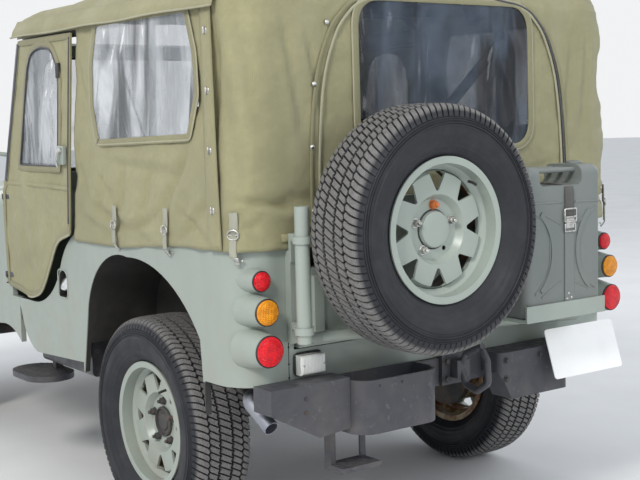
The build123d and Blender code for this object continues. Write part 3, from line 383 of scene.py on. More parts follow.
def chrome_trim():
    """Bright plating with faint pitting."""
    made = Finish("bright_plating", 0.1, 1.0)
    pitted = made.span(made.noise(90.0, detail=4.0), 0.6, 0.8)
    made.set("Base Color", made.blend(pitted, (0.78, 0.79, 0.8), (0.4, 0.38, 0.35)))
    return made.material


def pipe_steel():
    """Exhaust steel: blue-grey heat tint with brown bloom and rust freckles."""
    made = Finish("exhaust_pipe_steel", 0.42, 0.85)
    tint = made.span(made.noise(7.0, detail=4.0), 0.35, 0.7)
    heat = made.blend(tint, (0.26, 0.28, 0.34), (0.36, 0.37, 0.4))
    freckles = made.span(made.noise(130.0, detail=5.0), 0.66, 0.8)
    made.set("Base Color", made.blend(freckles, heat, RUST))
    made.patchy(30.0, 4.0, 0.3, 0.62)
    made.relief((made.noise(220.0, detail=3.0), 0.0003))
    return made.material


def dark_casting(name, colour=(0.06, 0.06, 0.062)):
    """Rough cast iron and forged steel under the car, with oil, rust and dust."""
    made = Finish(name, 0.65, 0.35)
    rusty = made.span(made.noise(24.0, detail=6.0, roughness=0.7), 0.55, 0.74, 0.0, 0.7)
    made.set("Base Color", dusty(made, made.blend(rusty, colour, RUST), 0.15, 0.7, 0.4))
    made.relief((made.noise(110.0, detail=4.0), 0.0009))
    return made.material


def vinyl_hide(name="seat_vinyl"):
    """Dark green seat vinyl with a fine leather grain and a worn shine."""
    made = Finish(name, 0.5, Coat_Weight=0.15)
    paler_share = made.span(made.noise(11.0, detail=5.0), 0.5, 0.75)
    made.set("Base Color", made.blend(paler_share, (0.05, 0.06, 0.042), (0.105, 0.112, 0.085)))
    made.patchy(8.0, 3.0, 0.36, 0.6)
    made.relief((made.cells(260.0), 0.0005), (made.noise(15.0, detail=3.0), 0.002))
    return made.material


def hard_rubber(name="hard_black_rubber"):
    """Black plastic and rubber of the steering wheel, seals and cable ties."""
    made = Finish(name, 0.5)
    greyed = made.span(made.noise(35.0, detail=4.0), 0.5, 0.75)
    made.set("Base Color", made.blend(greyed, (0.018, 0.018, 0.02), (0.055, 0.053, 0.052)))
    made.relief((made.noise(300.0, detail=2.0), 0.0003))
    return made.material


def radiator_core():
    """Rows of thin brass fins under black paint; the near black bands between the fins are painted shade."""
    made = Finish("radiator_core_fins", 0.6, 0.5)
    fins = made.wave(150.0, made.place((0, 0, 1)), direction="Z")
    # Near black between the fins: painted shade
    made.set("Base Color", made.blend(fins, (0.01, 0.01, 0.01), (0.075, 0.07, 0.062)))
    made.relief((fins, 0.004), (made.wave(28.0, made.place((1, 0, 0)), direction="X"), 0.006))
    return made.material


def white_plate():
    """Blank number plate: white stoved paint with a little road film."""
    made = Finish("blank_plate_white", 0.35, Coat_Weight=0.4)
    film = made.span(made.noise(12.0, detail=4.0), 0.5, 0.8, 0.0, 0.35)
    made.set("Base Color", made.blend(film, (0.95, 0.95, 0.94), (0.8, 0.79, 0.77)))
    made.relief((made.noise(60.0, detail=2.0), 0.0003))
    return made.material


def mirror_glass():
    """Silvered glass with a faint bloom."""
    made = Finish("mirror_silver", 0.03, 1.0)
    bloom = made.span(made.noise(20.0), 0.5, 0.9)
    made.set("Base Color", made.blend(bloom, (0.85, 0.87, 0.88), (0.6, 0.6, 0.6)))
    return made.material


def grid_faces(rows, columns, wrap_rows, wrap_columns):
    """Quads between neighbouring points of a grid, closed round where it wraps."""
    row = np.arange(rows if wrap_rows else rows - 1)
    column = np.arange(columns if wrap_columns else columns - 1)
    a, b = np.meshgrid(row, column, indexing="ij")
    a_next, b_next = (a + 1) % rows, (b + 1) % columns
    corners = (a * columns + b, a_next * columns + b, a_next * columns + b_next, a * columns + b_next)
    return np.stack(corners, -1).reshape(-1, 4)


def weld(mesh, distance=2e-5):
    """Joins points that meet, and turns the faces of closed shells outwards."""
    work = bmesh.new()
    work.from_mesh(mesh)
    bmesh.ops.remove_doubles(work, verts=work.verts, dist=distance)
    bmesh.ops.recalc_face_normals(work, faces=work.faces)
    work.to_mesh(mesh)
    work.free()


def modify(piece, kind, **settings):
    """Adds a modifier with its settings."""
    made = piece.modifiers.new(kind.title(), kind)
    for label, value in settings.items():
        setattr(made, label, value)
    return made


def thicken(piece, thickness, inside=None, offset=-1.0):
    """Gives an open sheet its thickness. The sheet first faces away from the point inside."""
    mesh = piece.data
    if inside is not None:
        count = len(mesh.polygons)
        centres, normals = np.empty(count * 3), np.empty(count * 3)
        mesh.polygons.foreach_get("center", centres)
        mesh.polygons.foreach_get("normal", normals)
        outwards = ((centres.reshape(-1, 3) - np.array(inside)) * normals.reshape(-1, 3)).sum(1)
        if outwards.sum() < 0:
            mesh.flip_normals()
    modify(piece, "SOLIDIFY", thickness=thickness, offset=offset, use_even_offset=False)
    return piece


def mesh_points(mesh):
    """All points of a mesh as rows of x, y, z."""
    points = np.empty(len(mesh.vertices) * 3)
    mesh.vertices.foreach_get("co", points)
    return points.reshape(-1, 3)


def make_mesh(name, points, faces, material, body="root", smooth=True, slot=None):
    """One piece from points and quads, riding on a body. Its record slot is looked up from the argument or
    its finish but not used.
    """
    mesh = bpy.data.meshes.new(name)
    mesh.from_pydata(points.tolist(), [], faces.tolist())
    weld(mesh)
    mesh.polygons.foreach_set("use_smooth", np.full(len(mesh.polygons), smooth))
    mesh.materials.append(material)
    piece = bpy.data.objects.new(name, mesh)
    bpy.context.scene.collection.objects.link(piece)
    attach(piece, body)
    slot = slot or SLOT_OF.get(material.name)
    return piece


def make_piece(name, grids, material, body="root", smooth=True, slot=None, keep=None):
    """One piece from grids of points. A grid is (points, wraps in rows, wraps in columns), and its points
    are rows by columns by 3, or a stack of such grids where a shape repeats. keep picks faces by centre."""
    points, faces, first = [], [], 0
    for shape, wrap_rows, wrap_columns in grids:
        shape = np.asarray(shape, float)
        rows, columns = shape.shape[-3:-1]
        stack = shape.reshape(-1, rows * columns, 3)
        starts = first + np.arange(len(stack)) * rows * columns
        quads = grid_faces(rows, columns, wrap_rows, wrap_columns)
        faces.append((quads[None] + starts[:, None, None]).reshape(-1, 4))
        points.append(stack.reshape(-1, 3))
        first += len(stack) * rows * columns
    points, faces = np.concatenate(points), np.concatenate(faces)
    if keep is not None:
        faces = faces[keep(points[faces].mean(1))]
    return make_mesh(name, points, faces, material, body, smooth, slot)


def sharpen(piece, angle=35.0):
    """Keeps edges crisp where faces meet at more than the angle, in degrees."""
    piece.data.set_sharp_from_angle(angle=math.radians(angle))
    return piece


def level_line(x, y, z, count):
    """Even points along a straight line. Each of x, y and z is one number or a (start, end) pair."""
    ends = [value if np.ndim(value) else (value, value) for value in (x, y, z)]
    return np.stack([np.linspace(*pair, count) for pair in ends], -1)


def basis(axis):
    """Two unit vectors square to an axis, and the axis itself."""
    axis = np.asarray(axis, float) / np.linalg.norm(axis)
    side = np.cross((0, 0, 1), axis) if abs(axis[2]) < 0.9 else np.array((1.0, 0, 0))
    side = side / np.linalg.norm(side)
    return side, np.cross(axis, side), axis


def ring_of(count, side, up):
    """Even directions round a circle: cos a * side + sin a * up."""
    angle = np.arange(count) * 2 * math.pi / count
    return np.cos(angle)[:, None] * side + np.sin(angle)[:, None] * up


def turned(profile, centre, axis, count=48):
    """Lathe form: the point at turn a of a profile pair (radius, height) is
    centre + radius * (cos a * side + sin a * up) + height * axis."""
    side, up, axis = basis(axis)
    radius, height = np.asarray(profile, float).T
    around = ring_of(count, side, up)[:, None] * radius[None, :, None]
    return np.asarray(centre) + around + height[None, :, None] * axis, True, False


def through(points, steps=8):
    """Smooth line through given points: Catmull-Rom cubics, a few steps to a stretch."""
    p = np.asarray(points, float)
    p = np.concatenate([2 * p[:1] - p[1:2], p, 2 * p[-1:] - p[-2:-1]])
    t = (np.arange(steps) / steps)[None, :, None]
    a, b, c, d = p[:-3, None], p[1:-2, None], p[2:-1, None], p[3:, None]
    line = b + 0.5 * t * (c - a + t * (2 * a - 5 * b + 4 * c - d + t * (3 * (b - c) + d - a)))
    return np.concatenate([line.reshape(-1, p.shape[1]), p[-2:-1]])


def swept(path, profile, up=(0, 0, 1), closed=False, capped=True):
    """A profile of (side, up) pairs carried square to a path. Side is the path's run crossed with up."""
    path = np.asarray(path, float)
    run = np.roll(path, -1, 0) - np.roll(path, 1, 0) if closed else np.gradient(path, axis=0)
    run /= np.linalg.norm(run, axis=1, keepdims=True)
    side = np.cross(run, np.asarray(up, float))
    side /= np.linalg.norm(side, axis=1, keepdims=True)
    rise = np.cross(side, run)
    profile = np.asarray(profile, float)
    rings = path[:, None] + profile[None, :, :1] * side[:, None] + profile[None, :, 1:] * rise[:, None]
    if capped and not closed:
        first, last = rings[:1].mean(1, keepdims=True), rings[-1:].mean(1, keepdims=True)
        ends = [np.broadcast_to(end, rings[:1].shape) for end in (first, last)]
        rings = np.concatenate([ends[0], rings, ends[1]])
    return rings, closed, True


def circle(radius, count=12, squash=1.0):
    """Round or oval section: (radius * cos a, squash * radius * sin a)."""
    angle = np.arange(count) * 2 * math.pi / count
    return np.stack([np.cos(angle) * radius, np.sin(angle) * radius * squash], -1)


def strap_section(width, thickness):
    """Flat webbing cut across: a rectangle with softened edges."""
    w, t, r = width / 2, thickness / 2, thickness * 0.3
    lower = [(-w, -t + r), (-w + r, -t), (w - r, -t), (w, -t + r)]
    return np.array(lower + [(x, -y) for x, y in lower[::-1]])


def rounded_outline(half_x, half_y, corner, per_corner=6):
    """Rounded rectangle about the origin, anticlockwise, as points of equal count on each corner arc."""
    angle = np.linspace(0, math.pi / 2, per_corner)
    arc = np.stack([np.cos(angle), np.sin(angle)], -1) * corner
    signs = np.array([(1, 1), (-1, 1), (-1, -1), (1, -1)])
    turns = [arc, arc[::-1] * (-1, 1), -arc, arc[::-1] * (1, -1)]
    centres = signs * (half_x - corner, half_y - corner)
    return np.concatenate([centre + turn for centre, turn in zip(centres, turns)])


def soft_block(one, other, corner, edge, axis=2):
    """Block between two opposite points with rounded plan corners and rounded end edges along one axis: the
    outline is carried up, drawn in at both ends by edge * (1 - sin a), and closed at its middle."""
    low, high = np.minimum(one, other).astype(float), np.maximum(one, other).astype(float)
    order = [i for i in range(3) if i != axis]
    half, middle = (high - low) / 2, (high + low) / 2
    angle = np.linspace(0, math.pi / 2, 5)
    inset = np.concatenate([edge * (1 - np.sin(angle)), edge * (1 - np.cos(angle))])
    ends = -half[axis] + edge * (1 - np.cos(angle)), half[axis] - edge * (1 - np.sin(angle))
    level = np.concatenate(ends)
    half_x, half_y = half[order[0]], half[order[1]]
    outline = rounded_outline(half_x, half_y, corner)
    shrink_x = 1 - inset[:, None] / half_x
    shrink_y = 1 - inset[:, None] / half_y
    shape = np.zeros((len(level) + 2, len(outline), 3))
    shape[1:-1, :, order[0]] = outline[None, :, 0] * shrink_x
    shape[1:-1, :, order[1]] = outline[None, :, 1] * shrink_y
    shape[1:-1, :, axis] = level[:, None]
    shape[0, :, axis], shape[-1, :, axis] = level[0], level[-1]
    return shape + middle, False, True


def at_places(shape, places):
    """Copies of one grid, its centre set at each place."""
    points, wrap_rows, wrap_columns = shape
    return np.asarray(points)[None] + np.asarray(places, float)[:, None, None, :], wrap_rows, wrap_columns


def dome(radius, rise, axis, sides=12, centre=(0, 0, 0)):
    """Round head of a rivet or snap, closed below."""
    angle = np.linspace(0, math.pi / 2, 4)
    profile = [(0, 0), (radius, 0), *zip(radius * np.cos(angle), rise * np.sin(angle))]
    profile[-1] = (0, rise)
    return turned(profile, centre, axis, sides)


def nut(radius, height, axis, centre=(0, 0, 0)):
    """Six-sided nut with a small chamfer and a bolt end."""
    profile = np.array([(0, 0), (1, 0), (1, 0.85), (0.88, 1), (0.5, 1), (0, 1)]) * (radius, height)
    return turned(profile, centre, axis, 6)


def nearest_on(points, outline):
    """The nearest point of a closed outline to each point: its foot on the nearest straight run."""
    start, end = np.asarray(outline, float), np.roll(outline, -1, 0)
    run = end - start
    share = ((points[:, None] - start) * run).sum(-1) / np.maximum((run * run).sum(-1), 1e-12)
    foot = start + np.clip(share, 0, 1)[..., None] * run
    pick = ((points[:, None] - foot) ** 2).sum(-1).argmin(1)
    return foot[np.arange(len(points)), pick]


def cut_grid(outline, pitch, holes=()):
    """Flat grid inside an outline and outside its holes. Its border points are moved onto the outline."""
    outline = np.asarray(outline, float)
    low, high = outline.min(0) - pitch, outline.max(0) + pitch
    across = np.arange(low[0], high[0] + pitch, pitch)
    up = np.arange(low[1], high[1] + pitch, pitch)
    flat = np.stack(np.meshgrid(across, up, indexing="ij"), -1).reshape(-1, 2)
    faces = grid_faces(len(across), len(up), False, False)
    centre = flat[faces].mean(1)
    kept = inside_outline(centre[:, 0], centre[:, 1], outline)
    for hole in holes:
        kept &= ~inside_outline(centre[:, 0], centre[:, 1], hole)
    border = np.intersect1d(faces[kept], faces[~kept])
    rims = np.stack([nearest_on(flat[border], rim) for rim in (outline, *holes)])
    pick = ((rims - flat[border]) ** 2).sum(-1).argmin(0)
    flat[border] = rims[pick, np.arange(len(border))]
    used, faces = np.unique(faces[kept], return_inverse=True)
    return flat[used], faces.reshape(-1, 4)


# The photograph's camera, solved from the wheel rims and body edges
CAMERA_AT = (2.56884, 4.34085, 1.34733)
CAMERA_YAW = 36.267
CAMERA_DOWN = 5.81
CAMERA_ROLL = 1.326
FOCAL_PIXELS = 1203.49
FRAME_PIXELS = 640
SENSOR_MM = 36.0
# The world's colour and strength: as it lights the car, and as it is seen
WORLD_LIGHT = ((0.88, 0.93, 1.0), 0.72)
WORLD_SEEN = ((0.93, 0.94, 0.95), 0.95)


def photograph_camera():
    """Camera at the photograph's place: turned from -Y by yaw, tipped down, then rolled about its view."""
    yaw, down, roll = (math.radians(v) for v in (CAMERA_YAW, CAMERA_DOWN, CAMERA_ROLL))
    forward = Vector((-math.sin(yaw) * math.cos(down), -math.cos(yaw) * math.cos(down), -math.sin(down)))
    level = forward.cross(Vector((0, 0, 1))).normalized()
    below = forward.cross(level)
    right = math.cos(roll) * level + math.sin(roll) * below
    up = math.sin(roll) * level - math.cos(roll) * below
    data = bpy.data.cameras.new("photograph_camera")
    data.sensor_width = SENSOR_MM
    data.lens = FOCAL_PIXELS * SENSOR_MM / FRAME_PIXELS
    data.clip_end = 60.0
    camera = bpy.data.objects.new("photograph_camera", data)
    turn = Matrix((right, up, -forward)).transposed().to_4x4()
    camera.matrix_world = Matrix.Translation(CAMERA_AT) @ turn
    bpy.context.scene.collection.objects.link(camera)
    bpy.context.scene.camera = camera


def pale_stage():
    """Pale floor that keeps the shadow and reads as near white, and a pale world all round it, seen by the
    camera, in reflections and through glass as WORLD_SEEN."""
    made = Finish("pale_floor", 0.85)
    patches = made.span(made.noise(2.0, detail=3.0), 0.3, 0.7)
    made.set("Base Color", made.blend(patches, (0.8, 0.8, 0.8), (0.86, 0.86, 0.85)))
    size = 60.0
    corners = [(-size, -size, 0), (size, -size, 0), (size, size, 0), (-size, size, 0)]
    mesh = bpy.data.meshes.new("studio_floor")
    mesh.from_pydata(corners, [], [(0, 1, 2, 3)])
    mesh.materials.append(made.material)
    floor = bpy.data.objects.new("studio_floor", mesh)
    bpy.context.scene.collection.objects.link(floor)
    bpy.context.scene.view_settings.view_transform = "Standard"
    world = bpy.data.worlds.new("pale_studio")
    bpy.context.scene.world = world
    world.use_nodes = True
    nodes, links = world.node_tree.nodes, world.node_tree.links
    nodes.clear()
    path = nodes.new("ShaderNodeLightPath")
    seen = path.outputs["Is Camera Ray"]
    for ray in ("Is Glossy Ray", "Is Transmission Ray"):
        either = nodes.new("ShaderNodeMath")
        either.operation = "MAXIMUM"
        links.new(seen, either.inputs[0])
        links.new(path.outputs[ray], either.inputs[1])
        seen = either.outputs[0]
    mix = nodes.new("ShaderNodeMixShader")
    links.new(seen, mix.inputs[0])
    for socket, (colour, strength) in zip((mix.inputs[1], mix.inputs[2]), (WORLD_LIGHT, WORLD_SEEN)):
        sky = nodes.new("ShaderNodeBackground")
        sky.inputs["Color"].default_value = (*colour, 1)
        sky.inputs["Strength"].default_value = strength
        links.new(sky.outputs[0], socket)
    links.new(mix.outputs[0], nodes.new("ShaderNodeOutputWorld").inputs[0])


# Name, place, point it looks at, size in metres, watts, colour
SOFT_LAMPS = (
    ("key_lamp", (6.5, 4.6, 6.0), (0.2, 0.6, 0.9), 2.2, 440, (1.0, 0.97, 0.92)),
    ("rear_fill", (-1.0, 8.5, 4.0), (0.0, 1.2, 0.9), 4.0, 130, (0.93, 0.96, 1.0)),
    ("right_fill", (-7.5, 1.0, 4.0), (0.0, 0.2, 0.9), 4.0, 70, (0.93, 0.96, 1.0)),
    ("front_fill", (1.5, -8.0, 4.2), (0.0, -0.8, 0.9), 4.0, 110, (1.0, 0.98, 0.95)),
)


def soft_lamps():
    """Round area lamps of SOFT_LAMPS, each turned toward its target."""
    for name, place, target, size, power, colour in SOFT_LAMPS:
        data = bpy.data.lights.new(name, "AREA")
        data.shape = "DISK"
        data.size = size
        data.energy = power
        data.color = colour
        lamp = bpy.data.objects.new(name, data)
        lamp.location = place
        lamp.rotation_mode = "QUATERNION"
        lamp.rotation_quaternion = (Vector(target) - Vector(place)).to_track_quat("-Z", "Y")
        bpy.context.scene.collection.objects.link(lamp)


photograph_camera()
pale_stage()
soft_lamps()

paint = body_paint("grey_green_paint", GREY_GREEN)
tub_finish = tub_paint()
# The barrels behind the discs are darkened with rust, brake dust and soot, partly as painted shade
wheel_paint = rim_paint("road_wheel_paint", "X", 0.6775, (near(RUST, 0.9), (0.4, 0.33, 0.19)))
spare_paint = rim_paint("spare_wheel_paint", "Y", 1.7895, (SOOT_AND_SHADE, near(RUST, 0.6)))
# Fuel can paint in the darker green, partly painted shade
shade_paint = body_paint("can_green_paint_and_shade", SHADE_GREEN, 0.5)
black = satin_black("satin_black_paint")
rubber = tread_rubber()
canvas = olive_canvas("olive_canvas")
film = clear_film("clear_window_film", (0.3, 0.33, 0.36), (0.66, 0.69, 0.72), 0.42, 0.72)
glass = flat_glass()
red_lens = lamp_lens("red_lens", SIGNAL_RED, 70.0)
amber_lens = lamp_lens("amber_lens", AMBER, 60.0)
fluted = clear_lens()
zinc = bright_zinc()
plating = chrome_trim()
steel_pipe = pipe_steel()
casting = dark_casting("dark_forged_steel")
engine_metal = dark_casting("engine_block_green", (0.1, 0.12, 0.1))
hide = vinyl_hide()
plastic = hard_rubber()
core = radiator_core()
plate_paint = white_plate()
binding = olive_canvas("olive_binding", near(OLIVE, 0.82))
piping = olive_canvas("faded_piping", OLIVE_FADED)
webbing = olive_canvas("pale_webbing", (0.4, 0.4, 0.32))
black_tape = satin_black("black_zip_tape")
# Rear window film: its dark bluish colour is painted shade of the dark inside seen through the clear film
rear_film_painted_shade = clear_film("rear_window_film", (0.012, 0.024, 0.044), (0.085, 0.115, 0.16), 0.42, 0.66)
nut_paint = body_paint("orange_nut_paint", (0.55, 0.16, 0.04), 0.5)
dark_webbing = olive_canvas("dark_strap_webbing", (0.085, 0.085, 0.078))
# Black of the drilled holes: painted shade inside them; the valance seam line it also draws is a dark joint
hole_black = hard_rubber("drilled_hole_black")
hide_piping = vinyl_hide("seat_piping_vinyl")
mirror_silver = mirror_glass()

SLOT_FINISHES = {
    "body_paint": (paint, shade_paint, spare_paint),
    "chassis_black": (black,),
    "canvas": (canvas, binding, piping, webbing),
    "film": (film, rear_film_painted_shade),
    "glass": (mirror_silver,),
    "tyre": (rubber,),
    "cast": (casting,),
    "pad": (hide_piping,),
    "black_plastic": (plastic, black_tape, dark_webbing, hole_black),
    "lens": (red_lens, amber_lens),
    "clear_lens": (fluted,),
    "exhaust_steel": (zinc, plating, nut_paint),
}
# Record slot of each finish
SLOT_OF = {finish.name: slot for slot, finishes in SLOT_FINISHES.items() for finish in finishes}

CORNERS = ("front_left", "front_right", "rear_left", "rear_right")
# Finish of each CAD node that stays in view
NODE_FINISHES = {
    tub_finish: ("body_tub",),
    paint: (
        "scuttle", "front_fenders", "grille", "bonnet", "gate_panel", "spare_carrier", "windshield_frame",
        "hinge_post", "lamp_housings",
    ),
    wheel_paint: ["wheel_" + corner for corner in CORNERS],
    spare_paint: ("spare_rim",),
    shade_paint: ("fuel_can",),
    black: ("chassis_frame", "front_bumper", "rear_bumperettes", "fuel_tank", "steps", "roll_hoop",
            "tow_hook", "seat_frames", "top_bows"),
    rubber: ["spare_tyre"] + ["tyre_" + corner for corner in CORNERS],
    canvas: ("canvas_top", "door_left", "door_right"),
    film: ("window_film", "door_left_film", "door_right_film"),
    glass: ("windshield_glass",),
    casting: ("front_axle", "rear_axle", "leaf_springs", "drive_shafts", "knuckle_left", "knuckle_right"),
    engine_metal: ("power_unit",),
    hide: ("seat_pads", "bench_pads"),
    plastic: ("steering_wheel", "steering_column"),
    core: ("radiator",),
    steel_pipe: ("exhaust",),
    plate_paint: ("number_plate",),
    fluted: ("reversing_lamp", "headlamps"),
    red_lens: ("lamp_lenses",),
}
for finish, names in NODE_FINISHES.items():
    for name in names:
        for entry in NODES[name].material_slots:
            entry.link = "OBJECT"
            entry.material = finish


def canvas_section():
    """Half width and height up the soft top's section, from the hem over the shoulder to the roof's middle:
    straight rows up the wall, then a smooth line over the shoulder."""
    wall = np.linspace(0.0, 1.0, 60)
    flap = (ROOF_FLAP_Z - FRONT_HEM_Z) / (SIDE_LINE[-1][1] - FRONT_HEM_Z)
    wall[np.argmin(abs(wall - flap))] = flap
    side = np.array(SIDE_LINE)
    height = FRONT_HEM_Z + wall * (side[-1, 1] - FRONT_HEM_Z)
    width = np.interp(height, side[:, 1], side[:, 0])
    roof = through([SIDE_LINE[-1], *ROOF_LINE], 8)[1:]
    return np.concatenate([width, roof[:, 0]]), np.concatenate([height, roof[:, 1]])


def hem_height(y):
    """The hem hangs lower in front and rises over the rear wheel."""
    return np.interp(y, (0.821, 1.23), (FRONT_HEM_Z, HEM_Z))


def rear_inset(height):
    """How far the rear curtain stands in from its lowest line, at each height."""
    return np.interp(height, (0.99, 1.69, 1.746, 1.779, 1.815, 1.842), (0.0, 0.01, 0.024, 0.052, 0.16, 0.5))


def door_edge(height):
    """Place along the car of the door opening's rear edge, which slopes back towards the roof."""
    return np.interp(height, (0.957, ROOF_FLAP_Z), (DOOR_REAR_Y - 0.028, DOOR_REAR_Y + 0.014))


def canvas_plan(width, height, columns):
    """One contour of the soft top: a left leg, a round corner and half the rear, mirrored. The legs' columns
    keep a line on the sloping rear edge of the door opening."""
    in_front, behind, corner, rear = columns
    rear_y = CANVAS_REAR_Y - rear_inset(height)
    radius = np.minimum(CANVAS_CORNER_R, 0.85 * width + 1e-4)
    door = door_edge(height)[:, None]
    leg_a = CANVAS_FRONT_Y + np.linspace(0, 1, in_front, endpoint=False) * (door - CANVAS_FRONT_Y)
    leg_b = door + np.linspace(0, 1, behind, endpoint=False) * ((rear_y - radius)[:, None] - door)
    leg = np.concatenate([leg_a, leg_b], 1)
    angle = np.linspace(0, math.pi / 2, corner, endpoint=False)
    corner_x = (width - radius)[:, None] + radius[:, None] * np.cos(angle)
    corner_y = (rear_y - radius)[:, None] + radius[:, None] * np.sin(angle)
    rear_x = (width - radius)[:, None] * np.linspace(1, 0, rear)
    x = np.concatenate([np.broadcast_to(width[:, None], leg.shape), corner_x, rear_x], 1)
    y = np.concatenate([leg, corner_y, np.broadcast_to(rear_y[:, None], rear_x.shape)], 1)
    return np.concatenate([x, -x[:, -2::-1]], 1), np.concatenate([y, y[:, -2::-1]], 1)


# Folds in the left and right quarter cloth: end points as (y, z), depth in metres and width
QUARTER_FOLDS = (
    ((0.56, 1.05), (0.86, 0.975), 0.005, 0.016),
    ((0.6, 1.1), (1.12, 0.985), 0.006, 0.02),
    ((0.86, 1.02), (1.16, 1.1), 0.0045, 0.018),
    ((1.14, 1.08), (0.92, 0.97), 0.004, 0.014),
    ((1.22, 1.1), (1.44, 1.00), 0.005, 0.016),
    ((1.18, 0.99), (1.4, 1.16), 0.0045, 0.016),
    ((0.54, 1.25), (0.66, 1.06), 0.004, 0.014),
    ((0.55, 1.6), (0.62, 1.42), 0.0035, 0.013),
    ((1.4, 1.66), (1.37, 1.3), 0.0045, 0.016),
    ((1.46, 1.6), (1.42, 1.2), 0.004, 0.015),
    ((0.72, 1.24), (1.28, 1.22), 0.004, 0.018),
    ((0.66, 1.2), (0.8, 1.12), 0.0035, 0.012),
    ((0.74, 1.2), (0.72, 1.02), 0.005, 0.02),
    ((0.9, 1.21), (0.87, 1.03), 0.0055, 0.024),
    ((1.06, 1.21), (1.04, 1.04), 0.005, 0.022),
    ((1.3, 1.26), (1.14, 1.02), 0.0065, 0.022),
    ((0.56, 1.3), (0.53, 1.1), 0.005, 0.016),
    ((1.44, 1.7), (1.56, 1.1), 0.007, 0.032),
    ((1.5, 1.66), (1.66, 1.3), 0.006, 0.028),
    ((1.43, 1.66), (1.47, 1.02), 0.0055, 0.018),
    ((1.5, 1.062), (1.7, 1.104), 0.011, 0.015),
    ((1.5, 1.056), (1.61, 1.05), 0.008, 0.01),
)
# Folds in the rear curtain: end points as (x, z), depth and width. The pairs are mirrored to the right
FOLD_PAIRS = (
    ((0.62, 1.05), (0.2, 0.985), 0.005, 0.018),
    ((0.66, 1.12), (0.44, 1.06), 0.0045, 0.015),
    ((0.56, 1.62), (0.5, 1.3), 0.004, 0.014),
    ((0.64, 1.66), (0.58, 1.24), 0.004, 0.016),
    ((0.8, 1.106), (0.57, 1.058), 0.011, 0.015),
)
REAR_FOLDS = [((s * x0, z0), (s * x1, z1), depth, width)
              for (x0, z0), (x1, z1), depth, width in FOLD_PAIRS for s in (1, -1)]
REAR_FOLDS += [
    ((0.3, 1.18), (-0.28, 1.15), 0.0045, 0.02),
    ((0.1, 1.1), (0.55, 1.16), 0.0035, 0.014),
    ((-0.12, 1.09), (-0.55, 1.16), 0.0035, 0.014),
]


def fold_field(along, up, folds):
    """Low ridge with a deeper furrow below it for each fold: two bells exp(-(d / width)^2) set side by side,
    where d is the distance to the fold's line, fading out to both ends."""
    depth = np.zeros_like(along)
    for (a0, z0), (a1, z1), height, width in folds:
        run = np.array((a1 - a0, z1 - z0))
        length = np.hypot(*run)
        run = run / length
        share = ((along - a0) * run[0] + (up - z0) * run[1]) / length
        off = (along - a0) * -run[1] + (up - z0) * run[0]
        fade = np.clip(share * 4, 0, 1) * np.clip((1 - share) * 4, 0, 1)
        width = width * (0.6 + 0.8 * np.clip(share, 0, 1))
        ridge = 0.6 * np.exp(-((off / width) ** 2)) - 1.3 * np.exp(-(((off + 1.6 * width) / width) ** 2))
        depth += height * fade * ridge
    return depth


def cloth_noise(along, up, seed, scale, count=26):
    """Sum of plane waves with random directions and phases, each of wavelength about the scale."""
    rng = np.random.default_rng(seed)
    field = np.zeros_like(along)
    for _ in range(count):
        angle = rng.uniform(0, math.pi)
        pitch = 2 * math.pi / (scale * rng.uniform(0.6, 1.7))
        field += np.sin((along * math.cos(angle) + up * math.sin(angle)) * pitch + rng.uniform(0, 7))
    return field / math.sqrt(count)


def roof_ridge(row, columns):
    """The roof's middle line, where both halves of the last contour meet: x is 0, y and z are the mean of
    the halves, and what lay behind the legs comes to their end."""
    row = (row + row[::-1]) / 2
    row[:, 0] = 0.0
    leg = columns[0] + columns[1]
    row[leg:-leg] = row[leg - 1]
    return row


